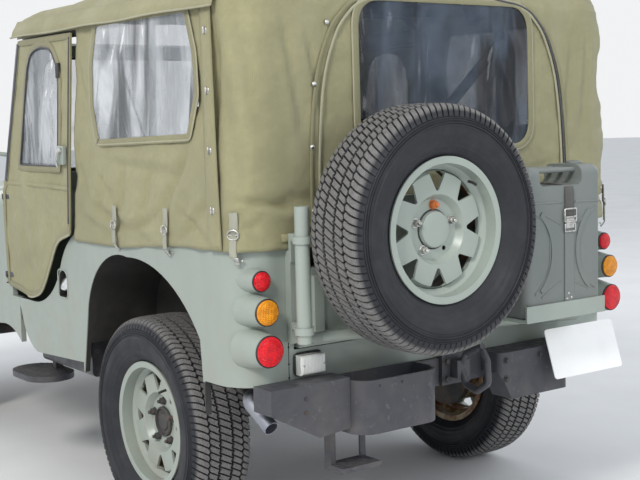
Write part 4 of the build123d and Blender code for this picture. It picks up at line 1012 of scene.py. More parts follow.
def canvas_surface(columns=(44, 74, 14, 52)):
    """Points of the whole soft top. Contours are stacked from hem to roof, the roof slopes down in front by a
    soft minimum, and folds, drape between bows and swags above the hem are added along the surface normal."""
    width, height = canvas_section()
    x, y = canvas_plan(width, height, columns)
    z = np.broadcast_to(height[:, None], x.shape).copy()
    top = SIDE_LINE[-1][1]
    wall = np.clip((top - z) / (top - FRONT_HEM_Z), 0, 1)
    z += wall * (hem_height(y) - FRONT_HEM_Z)
    slope = ROOF_FRONT_Z + (y - CANVAS_FRONT_Y) * (1.842 - ROOF_FRONT_Z) / (ROOF_BREAK_Y - CANVAS_FRONT_Y)
    over, soft = z > top, 0.012
    lowered = -soft * np.logaddexp(-z / soft, -slope / soft)
    z = np.where(over, np.maximum(lowered, top), z)
    points = np.stack([x, y, z], -1)
    down = np.gradient(points, axis=0)
    across = np.gradient(points, axis=1)
    normal = np.cross(across, down)
    normal /= np.linalg.norm(normal, axis=-1, keepdims=True) + 1e-9
    normal *= np.sign((normal * (points - TOP_MIDDLE)).sum(-1, keepdims=True))
    on_side = np.clip((abs(normal[..., 0]) - 0.35) * 4, 0, 1)
    on_rear = np.clip((normal[..., 1] - 0.35) * 4, 0, 1)
    on_roof = np.clip((normal[..., 2] - 0.35) * 4, 0, 1)
    side_sign = np.where(x >= 0, 0.0, 0.037)
    move = 1.7 * on_side * fold_field(y + side_sign, z, QUARTER_FOLDS)
    move += 1.5 * on_rear * fold_field(x, z, REAR_FOLDS)
    move = np.where(z < 1.005, np.maximum(move, -0.004), move)
    low = np.clip((1.12 - z) / 0.12, 0, 1)
    move += low * (on_side + on_rear) * 0.0022 * np.sin((y - x) * 2 * math.pi / 0.23)
    move += (on_side + on_rear) * 0.0017 * cloth_noise(y - x * 0.9, z, 3, 0.16)
    move += (on_side + on_rear) * 0.0009 * cloth_noise(y - x * 0.9, z, 5, 0.055)
    bows = np.array((CANVAS_FRONT_Y + 0.02, *BOW_YS))
    nearest = abs(y[..., None] - bows).min(-1)
    move -= on_roof * 0.01 * np.clip(nearest / 0.18, 0, 1) ** 2
    move += on_roof * (0.0022 * cloth_noise(x, y, 7, 0.3) + 0.0008 * cloth_noise(x, y, 9, 0.07))
    hem = np.clip((0.018 - (z - hem_height(y))) / 0.006, 0, 1) * np.clip(on_side + on_rear, 0, 1)
    move += 0.0012 * hem
    points = points + normal * (move - 0.0035)[..., None]
    points[-1] = roof_ridge(points[-1], columns)
    return points


def fitted(along, up, side):
    """Point of the soft top's smooth outer face at one place of a side (y, z), or of the rear (x, z)."""
    along, up = np.asarray(along, float), np.asarray(up, float)
    width = np.interp(up, [z for _, z in SIDE_LINE] + [z for _, z in ROOF_LINE],
                      [w for w, _ in SIDE_LINE] + [w for w, _ in ROOF_LINE])
    if side == "rear":
        return np.stack([along, CANVAS_REAR_Y - rear_inset(up), up], -1)
    sign = 1.0 if side == "left" else -1.0
    corner_y = CANVAS_REAR_Y - rear_inset(up) - CANVAS_CORNER_R
    turn = np.clip((along - corner_y) / CANVAS_CORNER_R, 0, 1.5)
    x = width - CANVAS_CORNER_R + CANVAS_CORNER_R * np.cos(turn)
    y = np.where(turn > 0, corner_y + CANVAS_CORNER_R * np.sin(turn), along)
    return np.stack([sign * x, y, up], -1)


def outward_of(place, along, up):
    """Outward unit normal of a face given by its place function."""
    step = 1e-3
    here = place(along, up)
    normal = np.cross(place(along + step, up) - here, place(along, up + step) - here)
    normal /= np.linalg.norm(normal, axis=-1, keepdims=True)
    return normal * np.sign((normal * (here - TOP_MIDDLE)).sum(-1, keepdims=True))


def top_place(side):
    """Gives the place function of one side of the top, or of its rear."""
    return lambda along, up: fitted(along, up, side)


def inside_outline(along, up, outline):
    """Which points lie within a closed outline, by counting crossings of a level line."""
    outline = np.asarray(outline, float)
    following = np.roll(outline, -1, 0)
    inside = np.zeros(along.shape, bool)
    for (a0, z0), (a1, z1) in zip(outline, following):
        crosses = (z0 > up) != (z1 > up)
        with np.errstate(divide="ignore", invalid="ignore"):
            at = a0 + (up - z0) * (a1 - a0) / (z1 - z0)
        inside ^= crosses & (along < at)
    return inside


def rounded_through(corners, radius, per_corner=7):
    """Closed outline with its corners rounded: each corner is a quadratic curve from radius before it to
    radius after it along the straight sides."""
    corners = np.asarray(corners, float)
    before, after = np.roll(corners, 1, 0), np.roll(corners, -1, 0)
    into = (before - corners) / np.linalg.norm(before - corners, axis=1, keepdims=True)
    away = (after - corners) / np.linalg.norm(after - corners, axis=1, keepdims=True)
    t = np.linspace(0, 1, per_corner)[None, :, None]
    start, end = (corners + into * radius)[:, None], (corners + away * radius)[:, None]
    return ((1 - t) ** 2 * start + 2 * t * (1 - t) * corners[:, None] + t**2 * end).reshape(-1, 2)


def dense(outline, pitch=0.02):
    """The same closed outline with points added so that none are farther apart than the pitch."""
    outline = np.asarray(outline, float)
    runs = []
    for here, there in zip(outline, np.roll(outline, -1, 0)):
        count = max(1, int(np.ceil(np.linalg.norm(there - here) / pitch)))
        runs.append(here + (there - here) * (np.arange(count) / count)[:, None])
    return np.concatenate(runs)


SIDE_WINDOW = ((0.712, 1.28), (1.29, 1.297), (1.338, 1.42), (1.326, 1.54), (1.275, 1.672), (0.687, 1.672),
               (0.651, 1.54), (0.655, 1.4), (0.692, 1.29))
REAR_WINDOW = ((0.364, 1.235), (0.364, 1.7), (-0.364, 1.7), (-0.364, 1.235))
SIDE_VIEW = rounded_through(SIDE_WINDOW, 0.014, 4)
REAR_VIEW = rounded_through(REAR_WINDOW, 0.095, 9)


def soft_top():
    """The fixed canvas: openings for doors and windows are left out by the places of its faces."""
    points = canvas_surface()
    flap = ROOF_FLAP_Z + 1e-3

    def closed(centre):
        """True for the faces that lie outside the doors and the windows."""
        x, y, z = centre.T
        side = abs(x) > 0.6
        door = side & (z < flap) & (y < door_edge(z))
        pane = side & inside_outline(y, z, SIDE_VIEW)
        rear = (y > 1.4) & (abs(x) < 0.5) & inside_outline(x, z, REAR_VIEW)
        return ~(door | pane | rear)

    top = make_piece("canvas_top_cloth", [(points, False, False)], canvas, keep=closed)
    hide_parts("canvas_top")
    thicken(top, 0.0022, inside=TOP_MIDDLE)
    return top


def band(name, place, route, width, thickness, lift, material, body="root", closed=False, slot=None):
    """Flat strip laid along a route of (along, up) places on one face, standing off it by lift."""
    along, up = np.asarray(route, float).T
    normal = outward_of(place, along, up)
    shape = swept(place(along, up) + normal * lift, strap_section(width, thickness), up=normal, closed=closed)
    return make_piece(name, [shape], material, body, slot=slot)


def film_panel(name, outline, place, body, material, seed):
    """Clear film with slack waves: noise along the normal that grows away from the sewn edge."""
    flat, faces = cut_grid(outline, 0.012)
    along, up = flat.T
    points, normal = place(along, up), outward_of(place, along, up)
    middle, half = (flat.max(0) + flat.min(0)) / 2, (flat.max(0) - flat.min(0)) / 2
    inner = np.clip(1 - np.abs((flat - middle) / half).max(1), 0, 1)
    slack = np.clip(inner * 5, 0, 1)
    creases = cloth_noise(along + 0.4 * up, up * 0.5, seed + 1, 0.06)
    waves = 0.0016 * cloth_noise(along, up, seed, 0.2) + 0.0007 * creases
    points = points + normal * (0.0005 + slack * waves)[:, None]
    panel = make_mesh(name, points, faces, material, body)
    thicken(panel, 0.0006, inside=TOP_MIDDLE)
    return panel


def window_set(side, view, name):
    """Film with its sewn binding in one opening of the fixed top."""
    face = top_place(side)
    panel = film_panel(name + "_film", view, face, "root", rear_film_painted_shade if side == "rear" else film, 11)
    edge = dense(view, 0.016)
    stitched = edge + (edge - edge.mean(0)) * 0.03
    band(name + "_binding", face, edge, 0.024, 0.0036, 0.0022, binding, closed=True)
    band(name + "_stitched_piping", face, stitched, 0.006, 0.004, 0.0022, piping, closed=True)
    return panel


# Straps that hold the hem down on each side and at the rear: place along, heights of top, ring and hook
SIDE_STRAPS = ((0.811, 1.078, 1.016, 0.945), (1.148, 1.086, 1.02, 0.951), (1.492, 1.088, 1.025, 0.95))
REAR_STRAPS = ((0.577, 1.075, 1.04, 0.992), (-0.577, 1.075, 1.04, 0.992))
# Side view of a strap's hook plate: up from its foot, out from the body
HOOK_BENDS = ((-0.012, 0), (0, 0.01), (0.01, 0.016))
RING_RADIUS = 0.017


def strap_set(name, side, along, top, ring_z, hook_z):
    """Webbing sewn to the canvas, a ring, the lower loop of webbing, and the hook plate on the body."""
    face = top_place(side)
    levels = through([(along, top), (along + 0.001, (top + ring_z) / 2), (along, ring_z)], 5)
    band(name + "_webbing", face, levels, 0.026, 0.003, 0.005, webbing)
    between = (ring_z + hook_z) / 2
    lower_line = through([(along, ring_z), (along - 0.001, between), (along, hook_z + 0.01)], 5)
    band(name + "_lower_loop", face, lower_line, 0.022, 0.0035, 0.008, webbing)
    normal = outward_of(face, along, ring_z)
    centre = face(along, ring_z) + normal * 0.01
    across, upward, _ = basis(normal)
    ring = centre + RING_RADIUS * ring_of(28, across, 0.8 * upward)
    bar = centre + np.linspace(-RING_RADIUS, RING_RADIUS, 6)[:, None] * across
    hook_at = face(along, hook_z)
    inward = np.array((0, -0.018, 0) if side == "rear" else (-0.013 * np.sign(hook_at[0]), 0, 0))
    foot = hook_at + inward + normal * 0.004
    hook = np.stack([foot + (0, 0, rise) + normal * out for rise, out in HOOK_BENDS])
    grids = [swept(ring, circle(0.0024, 8), up=normal, closed=True), swept(bar, circle(0.002, 8), up=normal)]
    grids += [swept(through(hook, 5), strap_section(0.016, 0.003), up=normal)]
    for offset in (-0.012, 0.012):
        grids.append(dome(0.0045, 0.003, normal, 10, foot + across * offset - normal * 0.003))
    make_piece(name + "_ring_and_hook", grids, zinc)


def turn_buttons(side):
    """Turn-buttons down the flap seam: an oval plate with a small upright key on it."""
    grids = []
    (y0, z0), (y1, z1) = SIDE_SEAM
    for share in (0.12, 0.36, 0.6, 0.84):
        along, up = y0 + (y1 - y0) * share, z0 + (z1 - z0) * share
        at = fitted(along, up, side)
        normal = outward_of(top_place(side), along, up)
        plate = [(0, 0), (0.011, 0), (0.011, 0.0015), (0.009, 0.0028), (0, 0.0028)]
        grids.append(turned(plate, at + normal * 0.003, normal, 20))
        key = at + normal * 0.008 + np.linspace(-0.01, 0.01, 5)[:, None] * np.array((0, 0, 1.0))
        grids.append(swept(key, strap_section(0.005, 0.006), up=normal))
    make_piece("turn_buttons_" + side, grids, zinc)


def seam_flap(side):
    """Overlapping flap of the side curtain with its rolled edge, from the eave to the hem."""
    band("curtain_flap_" + side, top_place(side), through(SIDE_SEAM, 40), 0.055, 0.0036, 0.0018, canvas)
    for offset, label in ((-0.026, "front"), (0.026, "rear")):
        line = through([(y + offset, z) for y, z in SIDE_SEAM], 40)
        band(f"curtain_flap_{label}_edge_{side}", top_place(side), line, 0.006, 0.0052, 0.0024, binding)


def door_opening_strips(side):
    """Dark strips behind the door's rear and top edges, set well inside its cloth: partly weather strips,
    partly painted shade in the gaps round the door.
    """
    upright = through([(0.536, 1.000), (0.536, 1.3), (0.54, 1.665)], 12)
    # Dark strips seen through the door gaps: partly weather strip, partly painted shade
    band(f"door_opening_rear_strip_{side}", top_place(side), upright, 0.075, 0.003, -0.022, black_tape)
    level = through([(0.03, 1.672), (0.28, 1.672), (0.57, 1.672)], 12)
    band(f"door_opening_top_strip_{side}", top_place(side), level, 0.06, 0.003, -0.022, black_tape)


def eave_flap(side):
    """Drip flap under the roof's edge: it leaves the cloth above the doors and stands off it to its hem."""
    y = np.linspace(CANVAS_FRONT_Y - 0.006, CANVAS_REAR_Y - 0.1, 150)[:, None]
    share = np.linspace(0, 1, 12)[None, :]
    up = 1.727 - 0.062 * share
    width = np.interp(up, (1.66, 1.69, 1.727), (0.784, 0.783, 0.768))
    stand = 0.004 + 0.012 * share**1.4 + 0.0012 * np.sin(y * 2 * math.pi / 0.31) * share
    sign = 1.0 if side == "left" else -1.0
    up = up + 0.002 * np.sin(y * 2 * math.pi / 0.5) * share
    points = np.stack(np.broadcast_arrays(sign * (width + stand), y, up), -1)
    flap = make_piece("eave_flap_" + side, [(points, False, False)], canvas)
    thicken(flap, 0.003, inside=TOP_MIDDLE)
    edge = points[:, -1] + np.array((sign * 0.0012, 0, 0.002))
    make_piece("eave_piping_" + side, [swept(edge, circle(0.0034, 8))], piping)


# Right half of the arched rear curtain's edge and its bright snaps: across, height
REAR_CURTAIN = ((0.512, 1.000), (0.505, 1.256), (0.483, 1.452), (0.44, 1.578), (0.396, 1.64),
                (0.33, 1.686), (0.18, 1.712))
REAR_SNAPS = ((0.532, 1.263), (0.518, 1.443), (0.466, 1.62), (0.533, 1.08))


def rear_curtain_edges():
    """Piping of the arched rear curtain, the seam outside it, the dark zip on its right and its snaps."""
    half, rear = np.asarray(REAR_CURTAIN), top_place("rear")
    line = through(np.concatenate([half, half[::-1] * (-1, 1)]), 7)
    band("rear_curtain_piping", rear, line, 0.009, 0.0046, 0.0022, piping)
    band("rear_curtain_outer_seam", rear, line * (1.055, 1.0) + (0, 0.006), 0.011, 0.0026, 0.0014, binding)
    zip_line = through(half * (-1.022, 1.0) + (0, 0.002), 8)
    band("rear_curtain_zip", rear, zip_line, 0.007, 0.006, 0.003, black_tape, slot="canvas")
    snaps = [dome(0.0085, 0.005, (0, 1, 0), 14, rear(x, z) + (0, 0.0015, 0))
             for x, z in REAR_SNAPS]
    make_piece("rear_curtain_snaps", snaps, zinc)
    low = through([(0.65, 1.01), (0.0, 1.003), (-0.65, 1.01)], 20)
    band("rear_curtain_hem_tape", rear, low, 0.022, 0.0026, 0.0014, canvas)


soft_top()
panes = [window_set("left", SIDE_VIEW, "left_window"), window_set("right", SIDE_VIEW, "right_window")]
panes.append(window_set("rear", REAR_VIEW, "rear_window"))
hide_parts("window_film")
for side in ("left", "right"):
    seam_flap(side)
    turn_buttons(side)
    eave_flap(side)
    door_opening_strips(side)
    for number, strap in enumerate(SIDE_STRAPS):
        strap_set(f"hem_strap_{side}_{number}", side, *strap)
for number, strap in enumerate(REAR_STRAPS):
    strap_set(f"rear_hem_strap_{number}", "rear", *strap)
rear_curtain_edges()


# Tread: how many blocks round the tyre, depth of the grooves, sawtooth swing of the long grooves, slant of
# the short ones
TREAD_PITCHES = 100
TREAD_DEPTH = 0.0085
TREAD_SWING = 0.0032
TREAD_SLANT = 0.55
# Places of the columns within one pitch: walls and floors of the short grooves at 0 and at one half
PITCH_COLUMNS = (-0.135, -0.095, 0.095, 0.135, 0.365, 0.405, 0.595, 0.635)
# Section of the tyre from its bead to its middle: distance from the middle, radius, and the kind of row:
# 0 smooth, 1 shoulder blocks, 2 and 3 tread blocks, 9 floor of a long groove
TYRE_SECTION = (
    (0.071, 0.199, 0), (0.0735, 0.208, 0), (0.079, 0.215, 0), (0.086, 0.223, 0), (0.0925, 0.232, 0),
    (0.095, 0.2345, 0), (0.0962, 0.24, 0), (0.0985, 0.2425, 0), (0.1022, 0.252, 0), (0.1032, 0.26, 0),
    (0.1052, 0.2625, 0), (0.1068, 0.276, 0), (0.1072, 0.288, 0), (0.105, 0.2905, 0), (0.104, 0.2975, 0),
    (0.1072, 0.299, 0), (0.1072, 0.3018, 0), (0.1036, 0.3032, 0), (0.1036, 0.3058, 0), (0.1062, 0.3068, 0),
    (0.106, 0.3085, 0), (0.1026, 0.3098, 0), (0.1024, 0.3126, 0), (0.1048, 0.3136, 0), (0.1044, 0.3152, 0),
    (0.1014, 0.3166, 0), (0.101, 0.319, 1), (0.0975, 0.333, 1),
    (0.0915, 0.344, 1), (0.085, 0.3505, 1), (0.076, 0.3532, 1), (0.064, 0.3548, 1), (0.0626, 0.355, 9),
    (0.057, 0.3552, 9), (0.0556, 0.3554, 2), (0.041, 0.3558, 2), (0.0272, 0.356, 2), (0.0258, 0.356, 9),
    (0.0196, 0.356, 9), (0.0182, 0.356, 3), (0.0, 0.356, 3),
)


def tyre_shape(centre, axis):
    """Tyre with its tread. Rows run round the section and columns round the tyre. A point's radius drops
    by the groove depth on groove floors; tread points swing sideways in a sawtooth and slant with their
    distance from the middle, so the blocks get their zigzag edges."""
    half = np.array(TYRE_SECTION)
    section = np.concatenate([half, half[-2::-1] * (-1, 1, 1)])
    x, radius, kind = section.T
    pitch = (np.arange(TREAD_PITCHES)[:, None] + np.array(PITCH_COLUMNS)).ravel()
    turn = pitch / TREAD_PITCHES * 2 * math.pi
    column = np.tile(np.arange(len(PITCH_COLUMNS)), TREAD_PITCHES)
    at_start, at_half = np.isin(column, (1, 2)), np.isin(column, (5, 6))
    block, rib = np.isin(kind, (1, 3))[:, None], (kind == 2)[:, None]
    floor = (kind == 9)[:, None] | (block & at_start) | (rib & at_half)
    fade = np.clip((radius - 0.315) / 0.012, 0, 1)
    drop = np.where(floor, TREAD_DEPTH, 0.0) * np.where(kind == 9, 1.0, fade)[:, None]
    on_tread = np.clip((0.08 - abs(x)) / 0.02, 0, 1) * (radius > 0.34)
    share = (turn * TREAD_PITCHES / (2 * math.pi)) % 1.0
    saw = abs(share - 0.5) * 4 - 1
    swing = on_tread[:, None] * saw * TREAD_SWING * np.sign(x)[:, None]
    slant = TREAD_SLANT * (radius > 0.31) * abs(x) / TYRE_R
    angle = turn[None, :] + np.where(x > 0, slant, -slant)[:, None]
    flare = np.where((kind == 1)[:, None] & ~at_start[None, :] & (abs(x) > 0.088)[:, None], 0.0016, 0.0)
    side, up, axis = basis(axis)
    ring = np.cos(angle)[..., None] * side + np.sin(angle)[..., None] * up
    out = x[:, None] + swing + flare * np.sign(x)[:, None]
    return centre + ring * (radius[:, None] - drop)[..., None] + out[..., None] * axis, True, True


def put_tyre(node, body, centre, axis):
    """The tyre in place of its node. Its attribute for the pale tread tops, partly scuff and partly painted
    highlight, is 1 where a point is within a few millimetres of the crown, a circle that falls away with the
    1.2th power of the distance from the middle."""
    made = make_piece(node + "_tread", [tyre_shape(np.array(centre), axis)], rubber, body)
    off = mesh_points(made.data) - centre
    out = off @ np.array(axis, float)
    radius = np.sqrt(np.maximum((off * off).sum(1) - out * out, 0))
    crown = TYRE_R - 0.6 * np.clip(abs(out) - 0.06, 0, 1) ** 1.2
    # Pale tread tops: scuff and dust, partly painted highlight
    paler_share = np.clip((radius - crown + 0.006) / 0.004, 0, 1) * (radius > 0.325)
    made.data.attributes.new("paler_share", "FLOAT", "POINT").data.foreach_set("value", paler_share)
    sharpen(made, 32.0)
    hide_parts(node)


# Half the rim's width, how far the disc's face stands out of its middle, and the radius of the nut circle
RIM_HALF_WIDTH = 0.0825
DISC_FACE = 0.02
NUT_CIRCLE = 0.06985
# Lathe profiles on the wheel's face: radius, height
STUD = ((0, 0), (0.006, 0), (0.006, 0.024), (0.0045, 0.026), (0, 0.026))
WASHER = ((0, 0), (0.0145, 0), (0.0145, 0.002), (0, 0.002))
ROAD_HUB = ((0, 0), (0.05, 0), (0.05, 0.008), (0.047, 0.012), (0.044, 0.012), (0.042, 0.004),
            (0.03, 0.003), (0.026, 0.009), (0, 0.01))
SPARE_BOSS = ((0, 0), (0.0535, 0), (0.0535, 0.006), (0.0505, 0.0125), (0.045, 0.0145), (0.02, 0.0155),
              (0, 0.0155))
BOSS_SHADOW = ((0.053, 0.0003), (0.0575, 0.0003), (0.0575, 0.0014), (0.053, 0.0014), (0.053, 0.0003))


def wheel_hardware(name, body, centre, axis, hub):
    """Nuts on their circle with washers, the hub that shows in a road wheel, and the spare's centre boss."""
    centre, axis = np.array(centre, float), np.array(axis, float)
    side, up, axis = basis(axis)
    face = centre + axis * DISC_FACE
    plain, marked = [], []
    for number in range(5):
        angle = number * 2 * math.pi / 5 + math.pi / 2
        if number == 3 and not hub:
            continue
        place = face + NUT_CIRCLE * (math.cos(angle) * side + math.sin(angle) * up)
        grids = [nut(0.0118, 0.016, axis, place), turned(WASHER, place, axis, 16)]
        grids.append(turned(STUD, place, axis, 10))
        (marked if number == 0 and not hub else plain).extend(grids)
    sharpen(make_piece(name + "_nuts", plain, casting if hub else zinc, body, slot="exhaust_steel"))
    if hub:
        sharpen(make_piece(name + "_hub", [turned(ROAD_HUB, face, axis, 48)], casting, body))
    else:
        sharpen(make_piece(name + "_marked_nut", marked, nut_paint, body))
        sharpen(make_piece(name + "_centre_boss", [turned(SPARE_BOSS, face, axis, 56)], spare_paint, body))
        make_piece(name + "_boss_shadow_ring", [turned(BOSS_SHADOW, face, axis, 56)], plastic, body)
    make_piece(name + "_valve", [tyre_valve(centre, axis, side, up)], plastic, body)


def tyre_valve(centre, axis, side, up):
    """Rubber tyre valve that leans out of the rim's slope: a round section along a smooth line."""
    spoke = math.cos(0.9) * side + math.sin(0.9) * up
    root = centre + axis * 0.058 + spoke * 0.168
    stem = through([root, root + axis * 0.016 - spoke * 0.003, root + axis * 0.036 - spoke * 0.01], 5)
    return swept(stem, circle(0.0042, 10), up=spoke)


WHEEL_X = RIM_OUT_X - RIM_HALF_WIDTH
for side_name, sign in (("left", 1), ("right", -1)):
    for end_name, y in (("front", FRONT_AXLE_Y), ("rear", REAR_AXLE_Y)):
        corner = f"{end_name}_{side_name}"
        place = (sign * WHEEL_X, y, TYRE_R)
        put_tyre("tyre_" + corner, "wheel_" + corner, place, (sign, 0, 0))
        wheel_hardware("wheel_" + corner, "wheel_" + corner, place, (sign, 0, 0), hub=True)
spare_middle = (SPARE_X, SPARE_OUT_Y - RIM_HALF_WIDTH, SPARE_Z)
put_tyre("spare_tyre", "rear_gate", spare_middle, (0, 1, 0))
wheel_hardware("spare_wheel", "rear_gate", spare_middle, (0, 1, 0), hub=False)


def flat_ring(half_x, half_z, corner, wire, centre):
    """Bead round a rounded rectangle that faces along Y: its outline swept with a round section."""
    outline = rounded_outline(half_x, half_z, corner, 5)
    path = np.stack([outline[:, 0], 0 * outline[:, 0], outline[:, 1]], -1) + centre
    return swept(path, circle(wire, 8), up=(0, 1, 0), closed=True)


# Lathe profiles of a tail lens and its gasket: radius as a share of the lens radius, radius added, height
LENS_PROFILE = ((0, 0, -0.0098), (1, 0, -0.0098), (1, 0, -0.005), (0.97, 0, -0.0022), (0.9, 0, -0.0008),
                (0.86, 0, -0.0017), (0.82, 0, -0.0005), (0.45, 0, 0.0008), (0, 0, 0.0012))
GASKET_PROFILE = ((0.9, 0, -0.0112), (1, 0.0034, -0.0112), (1, 0.0034, -0.0072), (1, -0.0006, -0.0066),
                  (0.9, 0, -0.0112))


def tail_lamps():
    """Lamp lenses as lathe forms about Y: rubber gasket, bead, groove and a shallow dome."""
    red, amber, gaskets = [], [], []
    for sign in (1, -1):
        for number, (z, r, face) in enumerate(TAIL_LAMPS):
            lens, gasket = (
                turned([(r * share + more, height) for share, more, height in profile],
                       (sign * LAMP_X, face, z), (0, 1, 0), 48)
                for profile in (LENS_PROFILE, GASKET_PROFILE)
            )
            (amber if number == 1 else red).append(lens)
            gaskets.append(gasket)
    lenses = make_piece("red_tail_lenses", red, red_lens)
    make_piece("amber_turn_lenses", amber, amber_lens)
    make_piece("lens_gaskets", gaskets, plastic)
    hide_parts("lamp_lenses")


REVERSING_LAMP = (0.558, 1.526, 0.636)


def reversing_lamp_trim():
    """Rubber bed, bright rim and two screws of the rectangular clear lamp."""
    middle = np.array(REVERSING_LAMP)
    make_piece("reversing_lamp_gasket", [flat_ring(0.0465, 0.0305, 0.01, 0.0042, middle)], plastic)
    rim = [flat_ring(0.0435, 0.0275, 0.008, 0.002, middle + (0, 0.024, 0))]
    rim += [dome(0.0034, 0.0022, (0, 1, 0), 10, middle + (x, 0.0318, 0)) for x in (-0.036, 0.036)]
    make_piece("reversing_lamp_rim", rim, plating)


def press_lines(lines, face_y):
    """Creases pressed in sheet steel that faces +Y: flat half-round beads along (x, z) routes."""
    grids = []
    for line in lines:
        flat = through(line, 8)
        path = np.stack([flat[:, 0], np.full(len(flat), face_y), flat[:, 1]], -1)
        grids.append(swept(path, circle(0.0036, 10, 0.55), up=(0, 1, 0)))
    return grids


# Creases of the fuel can's rear face, as (x, z) routes
CAN_CREASES = (
    ((-0.104, 1.07), (-0.2, 1.068), (-0.255, 1.067)), ((-0.312, 1.066), (-0.37, 1.065), (-0.43, 1.063)),
    ((-0.104, 0.752), (-0.2, 0.75), (-0.262, 0.749)), ((-0.312, 0.748), (-0.37, 0.747), (-0.43, 0.746)),
    ((-0.168, 1.036), (-0.207, 1.018), (-0.247, 0.999)), ((-0.388, 1.038), (-0.362, 1.02), (-0.326, 0.999)),
    ((-0.247, 0.819), (-0.205, 0.798), (-0.161, 0.775)), ((-0.294, 0.822), (-0.335, 0.804), (-0.374, 0.787)),
    ((-0.128, 1.046), (-0.19, 0.99), (-0.201, 0.915), (-0.185, 0.84), (-0.132, 0.786)),
    ((-0.407, 1.046), (-0.345, 0.99), (-0.334, 0.915), (-0.35, 0.84), (-0.403, 0.786)),
)
STRAP_X = -0.284
# Side view of the hold-down strap over the can's shoulder: along, height
STRAP_ROUTE = ((1.65, 1.1225), (1.735, 1.1225), (1.768, 1.118), (1.7758, 1.098), (1.7762, 1.06),
               (1.7765, 1.02))
STRAP_RIVETS = ((0.004, 0.779), (-0.008, 0.765), (0.012, 0.762))
CAP_PROFILE = ((0, 0), (0.026, 0), (0.026, 0.006), (0.023, 0.0095), (0.01, 0.0115), (0, 0.0115))


def on_can(across, out, height):
    """Point by the can's rear face: across from the strap's middle, out from the face, and its height."""
    return np.array((STRAP_X + across, CAN_Y[1] + out, height))


def can_block(half_width, out, heights, corner, edge, axis):
    """Block on the can's rear face, from one distance out of the face to another and between two heights."""
    low, high = on_can(-half_width, out[0], heights[0]), on_can(half_width, out[1], heights[1])
    return soft_block(low, high, corner, edge, axis)


def can_fittings():
    """Pressed creases, hold-down strap with its buckle, lower steel strap with rivets, cap and weld seams."""
    middle_y = (CAN_Y[0] + CAN_Y[1]) / 2
    seams = []
    for x in (CAN_X[0] + 0.006, CAN_X[1] - 0.006):
        seam = level_line(x + np.sign(x - STRAP_X) * 0.005, middle_y, (CAN_Z[0] + 0.02, CAN_Z[1] - 0.04), 24)
        seams.append(swept(seam, circle(0.0022, 8), up=(0, 1, 0)))
    over = through(STRAP_ROUTE, 8)
    path = np.stack([np.full(len(over), STRAP_X), over[:, 0], over[:, 1]], -1)
    run = np.gradient(path, axis=0)
    strap = swept(path, strap_section(0.04, 0.0035), up=run[:, [0, 2, 1]] * (0, 1, -1) + (0, 1e-6, 0))
    pin = level_line((STRAP_X - 0.024, STRAP_X + 0.024), CAN_Y[1] + 0.0095, 1.02, 8)
    buckle = [
        flat_ring(0.026, 0.02, 0.004, 0.003, on_can(0, 0.0085, 1.026)),
        flat_ring(0.023, 0.012, 0.003, 0.0026, on_can(0, 0.0075, 0.987)),
        swept(pin, circle(0.003, 10), up=(0, 1, 0)),
        can_block(0.018, (0.0035, 0.0085), (0.985, 1.016), 0.002, 0.001, 1),
        *(dome(0.005, 0.0034, (0, 1, 0), 12, on_can(x, 0.0042, z)) for x, z in STRAP_RIVETS),
    ]
    cap_at = (CAN_X[0] + 0.042, middle_y, CAN_Z[1] - 0.002)
    # The can's creases, seams, lower strap and cap share its darker green, partly painted shade
    for name, grids, finish in (
        ("can_creases", press_lines(CAN_CREASES, CAN_Y[1] + 0.0002), shade_paint),
        ("can_weld_seams", seams, shade_paint),
        ("can_strap", [strap], dark_webbing),
        ("can_lower_strap", [can_block(0.02, (0, 0.0045), (0.7, 1.000), 0.002, 0.001, 2)], shade_paint),
        ("can_buckle_and_rivets", buckle, zinc),
        ("can_strap_foot", [can_block(0.024, (-0.002, 0.0075), (0.7045, 0.736), 0.003, 0.0015, 1)], black),
        ("can_cap", [turned(CAP_PROFILE, cap_at, (0, 0, 1), 32)], shade_paint),
    ):
        make_piece(name, grids, finish, "rear_gate")


def bolt(at, axis, radius, height):
    """Hexagon bolt head on its washer."""
    washer = turned([(0, 0), (radius * 1.5, 0), (radius * 1.5, 0.0016), (0, 0.0016)], at, axis, 18)
    return [washer, nut(radius, height + 0.0016, axis, at)]


# Bolts that face the rear: face they sit on, radius, head height, and their places across and up
REAR_BOLTS = (
    (1.6312, 0.0042, 0.003, ((0.642, 0.56), (0.642, 0.52))),
    (1.6312, 0.0075, 0.006, ((-0.148, 0.56), (-0.148, 0.5), (-0.415, 0.56), (-0.3, 0.56))),
    (1.5562, 0.01, 0.009, ((0.042, 0.573), (-0.042, 0.573), (0.042, 0.517), (-0.042, 0.517))),
)


def rear_bolts():
    """Bolt heads on the bumperettes, step, towing plate and hinge arms."""
    fixed, arms = [], []
    for face_y, radius, height, places in REAR_BOLTS:
        for x, z in places:
            fixed += bolt((x, face_y, z), (0, 1, 0), radius, height)
    make_piece("rear_bolts", fixed, casting, smooth=False)
    for top in (0.767, 1.022):
        for y in (1.566, 1.586):
            arms += bolt((0.6165, y, top), (0, 0, 1), 0.0058, 0.004)
    make_piece("hinge_arm_bolts", arms, zinc, smooth=False)


# Tread plates on the right box and the folding step: from and to across, from and to along, height
TREAD_PLATES = ((-0.432, -0.13, 1.552, 1.622, 0.585), (0.384, 0.508, 1.556, 1.624, 0.332))


